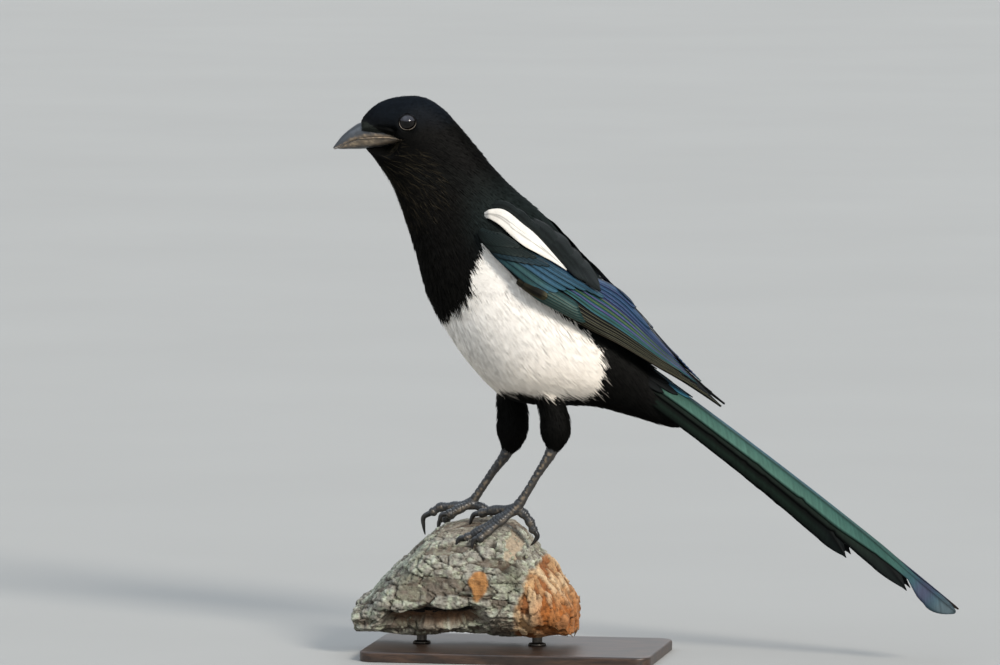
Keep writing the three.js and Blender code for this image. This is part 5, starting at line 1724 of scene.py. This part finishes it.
def flakeMesh(name, wide, long, lobes, tint):  # one small curled flake, three dozen triangles
    around = ringTo(flakeSides)
    edge = 1 + 0.18 * np.sin(around * lobes)
    outer = np.stack([np.cos(around) * wide * edge, np.sin(around) * long * edge, 0.35 + 0.12 * np.sin(around * 2)],
                     axis=1)
    low = outer * np.array([0.86, 0.86, 1]) - np.array([0, 0, 0.4])
    points = np.concatenate([outer, low, [[0, 0, 0.12]], [[0, 0, -0.25]]])
    a, b = np.arange(flakeSides), (np.arange(flakeSides) + 1) % flakeSides
    c, d, top = a + flakeSides, b + flakeSides, np.full(flakeSides, 2 * flakeSides)
    faces = [np.stack(corners, axis=1) for corners in ((a, b, top), (c, d, b), (c, b, a), (d, c, top + 1))]
    return paint(makePiece(name, points, np.concatenate(faces), None), colour(tint))


def scatterTree(name, material):  # small things strewn over a surface and turned along it
    tree = bpy.data.node_groups.new(name, "GeometryNodeTree")
    face = tree.interface
    face.new_socket(name="Surface", in_out="INPUT", socket_type="NodeSocketGeometry")
    face.new_socket(name="Shape", in_out="INPUT", socket_type="NodeSocketObject")
    for label, value in (("Density", 4000.0), ("Smallest", 0.6), ("Largest", 1.6), ("Spin", 3.1)):
        socket = face.new_socket(name=label, in_out="INPUT", socket_type="NodeSocketFloat")
        socket.default_value = value
    seed = face.new_socket(name="Seed", in_out="INPUT", socket_type="NodeSocketInt")
    seed.default_value = 4
    face.new_socket(name="Geometry", in_out="OUTPUT", socket_type="NodeSocketGeometry")
    n, link = tree.nodes.new, tree.links.new
    start, end = n("NodeGroupInput"), n("NodeGroupOutput")
    spread = n("GeometryNodeDistributePointsOnFaces")
    spread.distribute_method = "RANDOM"
    link(start.outputs["Surface"], spread.inputs["Mesh"])
    link(start.outputs["Density"], spread.inputs["Density"])
    link(start.outputs["Seed"], spread.inputs["Seed"])
    shape = n("GeometryNodeObjectInfo")
    link(start.outputs["Shape"], shape.inputs["Object"])
    size = n("FunctionNodeRandomValue")
    link(start.outputs["Smallest"], size.inputs[2])
    link(start.outputs["Largest"], size.inputs[3])
    link(start.outputs["Seed"], size.inputs["Seed"])
    spin = n("FunctionNodeRandomValue")
    spin.data_type = "FLOAT"
    link(start.outputs["Spin"], spin.inputs[3])
    turn = n("FunctionNodeRotateRotation")
    turn.rotation_space = "LOCAL"
    pack = n("ShaderNodeCombineXYZ")
    link(spin.outputs[1], pack.inputs["Z"])
    link(spread.outputs["Rotation"], turn.inputs[0])
    link(pack.outputs[0], turn.inputs[1])
    put = n("GeometryNodeInstanceOnPoints")
    link(spread.outputs["Points"], put.inputs["Points"])
    link(shape.outputs["Geometry"], put.inputs["Instance"])
    link(turn.outputs[0], put.inputs["Rotation"])
    link(size.outputs[1], put.inputs["Scale"])
    real, finish = n("GeometryNodeRealizeInstances"), n("GeometryNodeSetMaterial")
    link(put.outputs[0], real.inputs[0])
    link(real.outputs[0], finish.inputs["Geometry"])
    finish.inputs["Material"].default_value = material
    link(finish.outputs[0], end.inputs[0])
    return tree


def strew(name, ground, keep, shape, tree, slot, **values):
    # the ground's kept faces carry the tree; the result is a plain mesh of its own
    points, faces = readPoints(ground.data), readFaces(ground.data)
    kept = faces[keep(points[faces].mean(axis=1))]
    piece = makePiece(name, points, kept, None)
    modifier = piece.modifiers.new("scatter", "NODES")
    modifier.node_group = tree
    for item in tree.interface.items_tree:
        if item.in_out == "INPUT" and item.name in values:
            modifier[item.identifier] = values[item.name]
        if item.in_out == "INPUT" and item.name == "Shape":
            modifier[item.identifier] = shape
    bakedCopy(piece)
    declare(piece, slot)
    print(name, len(piece.data.polygons), "faces")
    return piece


stand = {"wide": 96, "long": 170, "high": 6, "corner": 9, "centre": 4, "bevel": 1.3,
         "rods": [(-52, 3), (16, 3)], "collar": 5.2, "sides": 40}


def makeStand():
    corner, outline = stand["corner"], []
    for cx, cy, start in ((1, 1, 0), (-1, 1, 90), (-1, -1, 180), (1, -1, 270)):
        for a in np.radians(np.linspace(start, start + 90, 14)).tolist():
            outline.append((cx * (stand["wide"] / 2 - corner) + corner * math.cos(a),
                            stand["centre"] + cy * (stand["long"] / 2 - corner) + corner * math.sin(a)))
    outline = np.array(outline)
    middle = np.array([0, stand["centre"]])
    levels = []
    for a in np.linspace(0, np.pi / 2, 6):  # lower edge eased, then the upper one
        levels.append((0.5 * (1 - math.sin(a)), 0.5 * (1 - math.cos(a))))
    b = stand["bevel"]
    for a in np.linspace(0, np.pi / 2, 9):
        levels.append((b * (1 - math.cos(a)), stand["high"] - b + b * math.sin(a)))
    rows = []
    for inset, z in levels:
        scale = 1 - inset / np.array([stand["wide"] / 2, stand["long"] / 2])
        rows.append(np.concatenate([middle + (outline - middle) * scale, np.full((len(outline), 1), z)], axis=1))
    rows = np.array(rows)
    n = len(outline)
    points = np.concatenate([rows.reshape(-1, 3), [[0, stand["centre"], 0]], [[0, stand["centre"], stand["high"]]]])
    faces = [gridFaces(len(rows), n, True), fanCaps(len(points) - 2, n)]
    plate = makePiece("stand_plate", points, faces, materials["standWood"], smooth=False)
    declare(plate, "stand_wood", "stand_base")
    parts = []
    for y, r in stand["rods"]:
        profile = [(r - 0.1, 5.9), (stand["collar"], 5.95), (stand["collar"], 6.9), (stand["collar"] - 0.5, 7.5),
                   (r + 0.5, 7.8), (r + 0.15, 7.9), (r - 0.1, 7.9)]
        around = ringTo(stand["sides"])
        ring = np.array([np.stack([np.cos(around) * q, y + np.sin(around) * q, np.full(len(around), z)], axis=1)
                         for q, z in profile])
        quads = gridFaces(len(profile), len(around), closed=True, looped=True)
        parts.append((ring.reshape(-1, 3), quads, np.zeros((0, 3), int)))
    points, quads, _ = joinMeshes(parts)
    declare(makePiece("stand_collars", points, [quads], materials["standRod"]), "stand_rod")
    for name in ("stand_rod_front", "stand_rod_back"):
        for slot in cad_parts[name].material_slots:
            slot.material = materials["standRod"]


def standWoodMaterial():
    material, tree, shader = newMaterial("standWood", Roughness=0.45, Coat_Weight=0.15, Coat_Roughness=0.3)
    place = node(tree, "TexCoord").outputs["Object"]
    stretched = node(tree, "Mapping", Vector=place, Scale=(1.0, 0.12, 1.0))
    rings = node(tree, "TexNoise", Vector=stretched.outputs[0], Scale=55.0, Detail=2.0, Distortion=0.4).outputs[0]
    lines = node(tree, "Math", operation="MULTIPLY", i0=rings, i1=70.0)
    lines = node(tree, "Math", operation="SINE", i0=lines.outputs[0])
    lines = node(tree, "MapRange", Value=lines.outputs[0], From_Min=-1.0)
    pores = node(tree, "TexNoise", Vector=stretched.outputs[0], Scale=1500.0, Detail=2.0).outputs[0]
    wood = colourSteps(tree, lines.outputs[0], [(0.0, "2c211a"), (0.6, "39291f"), (1.0, "443226")])
    fine = colourSteps(tree, pores, [(0.35, 0.6), (0.55, 1.0)])
    linkFinish(tree, shader, multiplied(tree, wood, fine), pores, 0.25, 0.1)
    return material


def standRodMaterial():
    material, tree, shader = newMaterial("standRod", Metallic=0.9)
    place = node(tree, "TexCoord").outputs["Object"]
    mottle = useGroup(tree, groups["mottle"], Place=place, Size=300.0, Grain=2500.0, Contrast=1.0)
    tree.links.new(colourSteps(tree, mottle["Mask"], [(0.3, "4e4b47"), (0.7, "6a6661")]), shader.inputs["Base Color"])
    tree.links.new(colourSteps(tree, mottle["Mask"], [(0.3, 0.45), (0.7, 0.28)]), shader.inputs["Roughness"])
    return material


def fromEye(points, side):  # height along an eye's axis, the way out from that axis, and how far out
    rel = points - eyeCentre(side)
    high = (rel @ eyeAxis(side))[..., None]
    radial = rel - high * eyeAxis(side)
    return high, radial, np.linalg.norm(radial, axis=-1, keepdims=True)


def eyeAway(points):  # distance from the nearer eye's axis, far away on the other side of the head
    best = np.full((*points.shape[:-1], 1), 99.0)
    for side in (1, -1):
        high, _, away = fromEye(points, side)
        best = np.where((high > 0) & (away < best), away, best)
    return best[..., 0]


def eyeFence(points, reach=4.72):  # nothing lies across the eye
    out = points.copy()
    for side in (1, -1):
        high, radial, away = fromEye(out, side)
        short = np.where(high > 0, np.maximum(reach - away, 0), 0)
        out = out + radial / np.maximum(away, 0.1) * short
    return out


def roundEye(points, normals, along):  # feathers part in front of the eye and close behind it
    out = along.copy()
    for side in (1, -1):
        high, radial, away = fromEye(points, side)
        radial = radial / np.maximum(away, 0.1)
        toward = np.maximum(-(out * radial).sum(axis=1, keepdims=True), 0)
        push = np.exp(-((away - 4.5) / 3.5) ** 2) * toward * (high > 0)
        out = out + radial * push * 1.1
    return unit(out - normals * (out * normals).sum(axis=1, keepdims=True))


def straightHead(points):
    return turned(points, -eyes["turn"])


def nearBill(points):  # the nasal patch, whose bristles point forward over the bill
    s = straightHead(points)
    line = np.interp(s[..., 2], [300, 304, 310.5], [-73, -74, -83])
    return (s[..., 1] < line) & (s[..., 2] > 303.0) & (s[..., 2] < 310.4)


def bareJaw(points):  # the bare sides of the bill, above and below the gape's lip
    s = straightHead(points)
    low = np.interp(s[..., 1], [-90, -86.5, -70, -66, -63], [292.6, 293.2, 294.6, 297.6, 300])
    high = np.interp(s[..., 1], [-90, -86.5, -75.5, -64], [305.2, 304.4, 303.0, 300.9])
    return (s[..., 1] < -63.5) & (s[..., 2] < high) & (s[..., 2] > low)


groups = {"mottle": mottleGroup(), "barbs": barbGroup()}
materials = {
    "black": coatMaterial("plumageBlack", 0.6, 0.06, 0.0, 0.3, "9aa4b0", 0.2),
    "white": coatMaterial("plumageWhite", 0.88, 0.3, 0.10, 0.04, "fff6ea", 0.03),
    "skin": coatMaterial("skinUnderCoat", 0.8, 0.1, 0.0, 0.3, "ffffff", 0.2),
    "eye": eyeMaterial(),
    "lids": tintedMaterial("lids", 0.6, 900.0, 3000.0, 1.5, 0.7, 0.4, 0.1, gloss=0.12),
    "horn": tintedMaterial("billHorn", 0.36, 420.0, 2200.0, 1.8, 0.6, 0.35, 0.12, coatWeight=0.3, coatRough=0.3),
    "scales": tintedMaterial("legScales", 0.46, 600.0, 2500.0, 1.8, 0.55, 0.5, 0.12, coatWeight=0.1),
    "claw": tintedMaterial("clawHorn", 0.32, 500.0, 2500.0, 1.4, 0.6, 0.3, 0.08, coatWeight=0.3),
    "wing": vaneMaterial("wingVanes", 0.35, 0.52, 0.35, gloss=0.15),
    "tailVanes": vaneMaterial("tailVanes", 0.35, 0.56, 0.4, gloss=0.08),
    "scapularWhite": vaneMaterial("scapularWhite", 0.0, 0.85, 0.10),
    "scapularBlack": vaneMaterial("scapularBlack", 0.0, 0.6, 0.5, gloss=0.08),
    "bark": barkMaterial(),
    "lichen": tintedMaterial("lichen", 0.9, 500.0, 2500.0, 1.5, 0.7, 0.6, 0.3),
    "standWood": standWoodMaterial(),
    "standRod": standRodMaterial(),
}

placeCamera()
placeLights()
placeFloor()
print("camera, lights and floor are in place")

skin = makeForm()
form = formSurface(skin)
# painted shade: the skin under the coat carries the coat's colours made 15% darker, as shade beneath the tufts
paint(skin, coatColour(form.points, 0.6) * 0.85, materials["skin"])
declare(skin, "plumage_black", "head", "neck", "trunk", "thigh_left", "thigh_right")
print("skin", len(skin.data.polygons) * 2, "triangles")

for side, name in ((1, "left"), (-1, "right")):
    declare(makeEye(side), "eye", "eye_" + name)
    declare(makeLids(side), "plumage_black")
makeBill(form)
print("eyes, lids and bill are in place")

wing = wingSurface()
cover = wingPoint(np.linspace(0, 9, 90)[:, None], np.linspace(0.06, 1, 16)[None]).reshape(-1, 3)
bothWings = [BVHTree.FromPolygons((cover * np.array([s, 1, 1])).tolist(), gridFaces(90, 16).tolist())
             for s in (1, -1)]


def uncovered(points, normals, reach=6):  # roots that no folded wing hides
    keep = []
    for p, n in zip(points.tolist(), normals.tolist()):
        keep.append(bothWings[p[0] <= 0].ray_cast(Vector(p), Vector(n), reach)[0] is None)
    return np.array(keep, bool)


for side, name in ((1, "left"), (-1, "right")):
    declare(wingCore(side), "plumage_black", "wing_" + name)
    vanes = layWing(wing, far=side < 0).build("wing_vanes_" + name, materials["wing"], mirror=side < 0)
    declare(vanes, "wing_blue")
outer = outerSurface()
for side, name in ((1, "left"), (-1, "right")):
    declare(whiteScapulars(outer, side).build("scapulars_white_" + name, materials["scapularWhite"]), "plumage_white")
    declare(blackScapulars(outer, side).build("scapulars_black_" + name, materials["scapularBlack"]), "plumage_black")
    declare(tailCoverts(side).build("tail_coverts_" + name, materials["scapularBlack"]), "tail_green")
declare(makeTail().build("tail_vanes", materials["tailVanes"]), "tail_green", "tail")
print("wings and tail are in place")


def isBody(kinds):
    return kinds[:, 2] == 0


def backness(kinds):
    return np.cos(kinds[:, 1])


def coatTint(points, gen):
    return coatColour(points, 0.8)


def oneTint(text):
    return lambda points, gen: np.repeat(colour(text)[None], len(points), 0)


def isWhite(points):
    return whiteness(points, 0.8) > 0.5


def clearOfFace(points):
    return ~nearBill(points) & ~bareJaw(points) & (eyeAway(points) > 4.85)


def darkAndBare(points, normals):
    return ~isWhite(points) & uncovered(points, normals)


headRegions = [
    {"where": lambda c, k: isBody(k) * (k[:, 0] < 5.2) * clearOfFace(c) * (1 + 1.6 * ramp(13 - eyeAway(c), 0, 8)),
     "keep": lambda p, n: clearOfFace(p), "bend": roundEye, "fence": eyeFence,
     "size": lambda p: np.interp(straightHead(p)[:, 1], [-88, -70, -56, -35], [0.5, 0.72, 0.95, 1.5])
        * mix(0.55, 1, ramp(eyeAway(p), 6, 13)),
     "raise": lambda p: mix(0.75, 1, ramp(eyeAway(p), 6, 10)) * np.interp(straightHead(p)[:, 1], [-88, -78], [0.35, 1]),
     "count": 8800, "length": 4.4, "width": 0.5, "lift": 0.8, "rows": 2, "byDepth": True, "lean": 0.35,
     "spread": 0.6, "wave": 0.12, "swing": 0.10, "vary": 0.25, "tipShade": 1.25}]
bristleRegions = [
    {"where": lambda c, k: isBody(k) * nearBill(c) * (straightHead(c)[:, 1] > -84.5),
     "keep": lambda p, n: nearBill(p), "colour": oneTint("272a27"),
     "size": lambda p: np.interp(straightHead(p)[:, 1], [-84, -74, -68], [0.45, 0.8, 1.1]),
     "count": 800, "length": 6.5, "width": 0.4, "lift": 0.6, "against": True, "spread": 0.5, "wave": 0.25,
     "vary": 0.4, "tipShade": 1.5, "rise": 0.5}]
neckRegions = [
    {"where": lambda c, k: isBody(k) * (k[:, 0] > 4.8) * (k[:, 0] < 11.5) * (whiteness(c) < 0.9)
        * ((backness(k) < 0.25) | (k[:, 0] < 9)),
     "keep": darkAndBare, "size": lambda p: np.interp(p[:, 2], [215, 260, 300], [1.15, 1.0, 0.75]),
     "count": 5900, "length": 9.5, "width": 0.7, "lift": 0.8, "byDepth": True, "lean": 0.35, "spread": 1.1,
     "wave": 0.5, "swing": 0.14, "drift": 0.1, "vary": 0.55, "tipShade": 1.5},
    {"where": lambda c, k: isBody(k) * (k[:, 0] > 1.5) * (k[:, 0] < 7.5) * (backness(k) < 0.1) * (c[:, 2] > 252)
        * clearOfFace(c) * ramp(straightHead(c)[:, 1], -84, -74),
     "keep": lambda p, n: clearOfFace(p) & (eyeAway(p) > 14), "colour": oneTint("2f2a20"),
     "count": 620, "length": 11, "width": 0.2, "lift": 1.5, "strands": 1, "spread": 0, "wave": 0.9,
     "swing": 0.22, "drift": 0.2, "vary": 0.6, "flick": 0.5, "tipShade": 1.5}]
mantleRegions = [
    {"where": lambda c, k: isBody(k) * (k[:, 0] > 7.5) * (k[:, 0] < 14.5) * (backness(k) > 0.0) * (whiteness(c) < 0.5),
     "keep": uncovered, "count": 5600, "length": 10.5, "width": 1.3, "lift": 0.75, "byDepth": True, "lean": 0.3,
     "spread": 1.6, "wave": 0.4, "swing": 0.10, "vary": 0.2, "tipShade": 1.25}]


def whiteCoat(start, end, count):  # the white belly between two rings of the body
    return [
        {"where": lambda c, k: (whiteness(c, 0.5) > 0.1) * isBody(k) * (k[:, 0] >= start) * (k[:, 0] < end),
         "keep": lambda p, n: isWhite(p) & uncovered(p, n, 2.5),
         "size": lambda p: mix(0.5, 1.0, ramp(-outlineDistance(p[:, 1:], whiteBelly), 1, 10)),
         "count": count, "length": 17, "width": 0.72, "lift": 1.9, "spread": 1.5, "wave": 0.2, "uneven": 0.08,
         "swing": 0.06, "drift": 0.06, "vary": 0.03, "rootShade": 1.0, "tipShade": 1.0, "lean": 0.06}]


ventRegions = [
    {"where": lambda c, k: isBody(k) * (k[:, 0] > 11.5) * (whiteness(c, 0.5) < 0.9)
        * ((backness(k) < 0.3) | (k[:, 0] > 14)),
     "keep": darkAndBare, "count": 5000, "length": 13, "width": 1.0, "lift": 2.1, "spread": 1.5, "wave": 0.6,
     "swing": 0.11, "drift": 0.10, "vary": 0.35, "tipShade": 1.5}]
thighRegions = [
    {"where": lambda c, k: (k[:, 2] > 0) * 1.0, "keep": lambda p, n: ~isWhite(p), "count": 3600, "length": 7,
     "width": 0.75, "lift": 1.5, "spread": 1.0, "wave": 0.5, "swing": 0.2, "drift": 0.1, "vary": 0.35,
     "tipShade": 1.4}]

coats = [("head", "black", 21, headRegions), ("bristles", "black", 22, bristleRegions),
         ("neck", "black", 23, neckRegions), ("mantle", "black", 24, mantleRegions),
         ("belly_front", "white", 25, whiteCoat(0, 10.8, 5800)),
         ("belly_back", "white", 28, whiteCoat(10.8, 16.5, 5800)),
         ("vent", "black", 26, ventRegions), ("thighs", "black", 27, thighRegions)]
for name, kind, seed, regions in coats:
    growTufts("coat_" + name, form, regions, materials[kind], "plumage_" + kind, seed)
print("coat is grown")

for name in ("left", "right"):
    makeLeg(name)
makeClaws()
print("legs and claws are in place")

perch = makePerch()
flake = flakeMesh("flakeShape", 0.8, 1.0, 3, "93957f")
splinter = flakeMesh("splinterShape", 0.35, 2.6, 2, "8a6a48")
strewTree = scatterTree("lichenFlakes", materials["lichen"])
strew("lichen_flakes", perch, lambda c: (softNoise(c, 14, 21) > 0.12) & (c[:, 1] < 26) & (c[:, 2] > 18), flake,
      strewTree, "bark", Density=9000.0, Smallest=0.35, Largest=1.15, Spin=6.2, Seed=4)
strew("bark_splinters", perch, lambda c: (c[:, 1] > 27) & (c[:, 2] > 12), splinter, strewTree, "bark",
      Density=16000.0, Smallest=0.5, Largest=1.3, Spin=0.5, Seed=9)
for shape in (flake, splinter):
    bpy.data.objects.remove(shape)
makeStand()
print("perch and stand are in place")
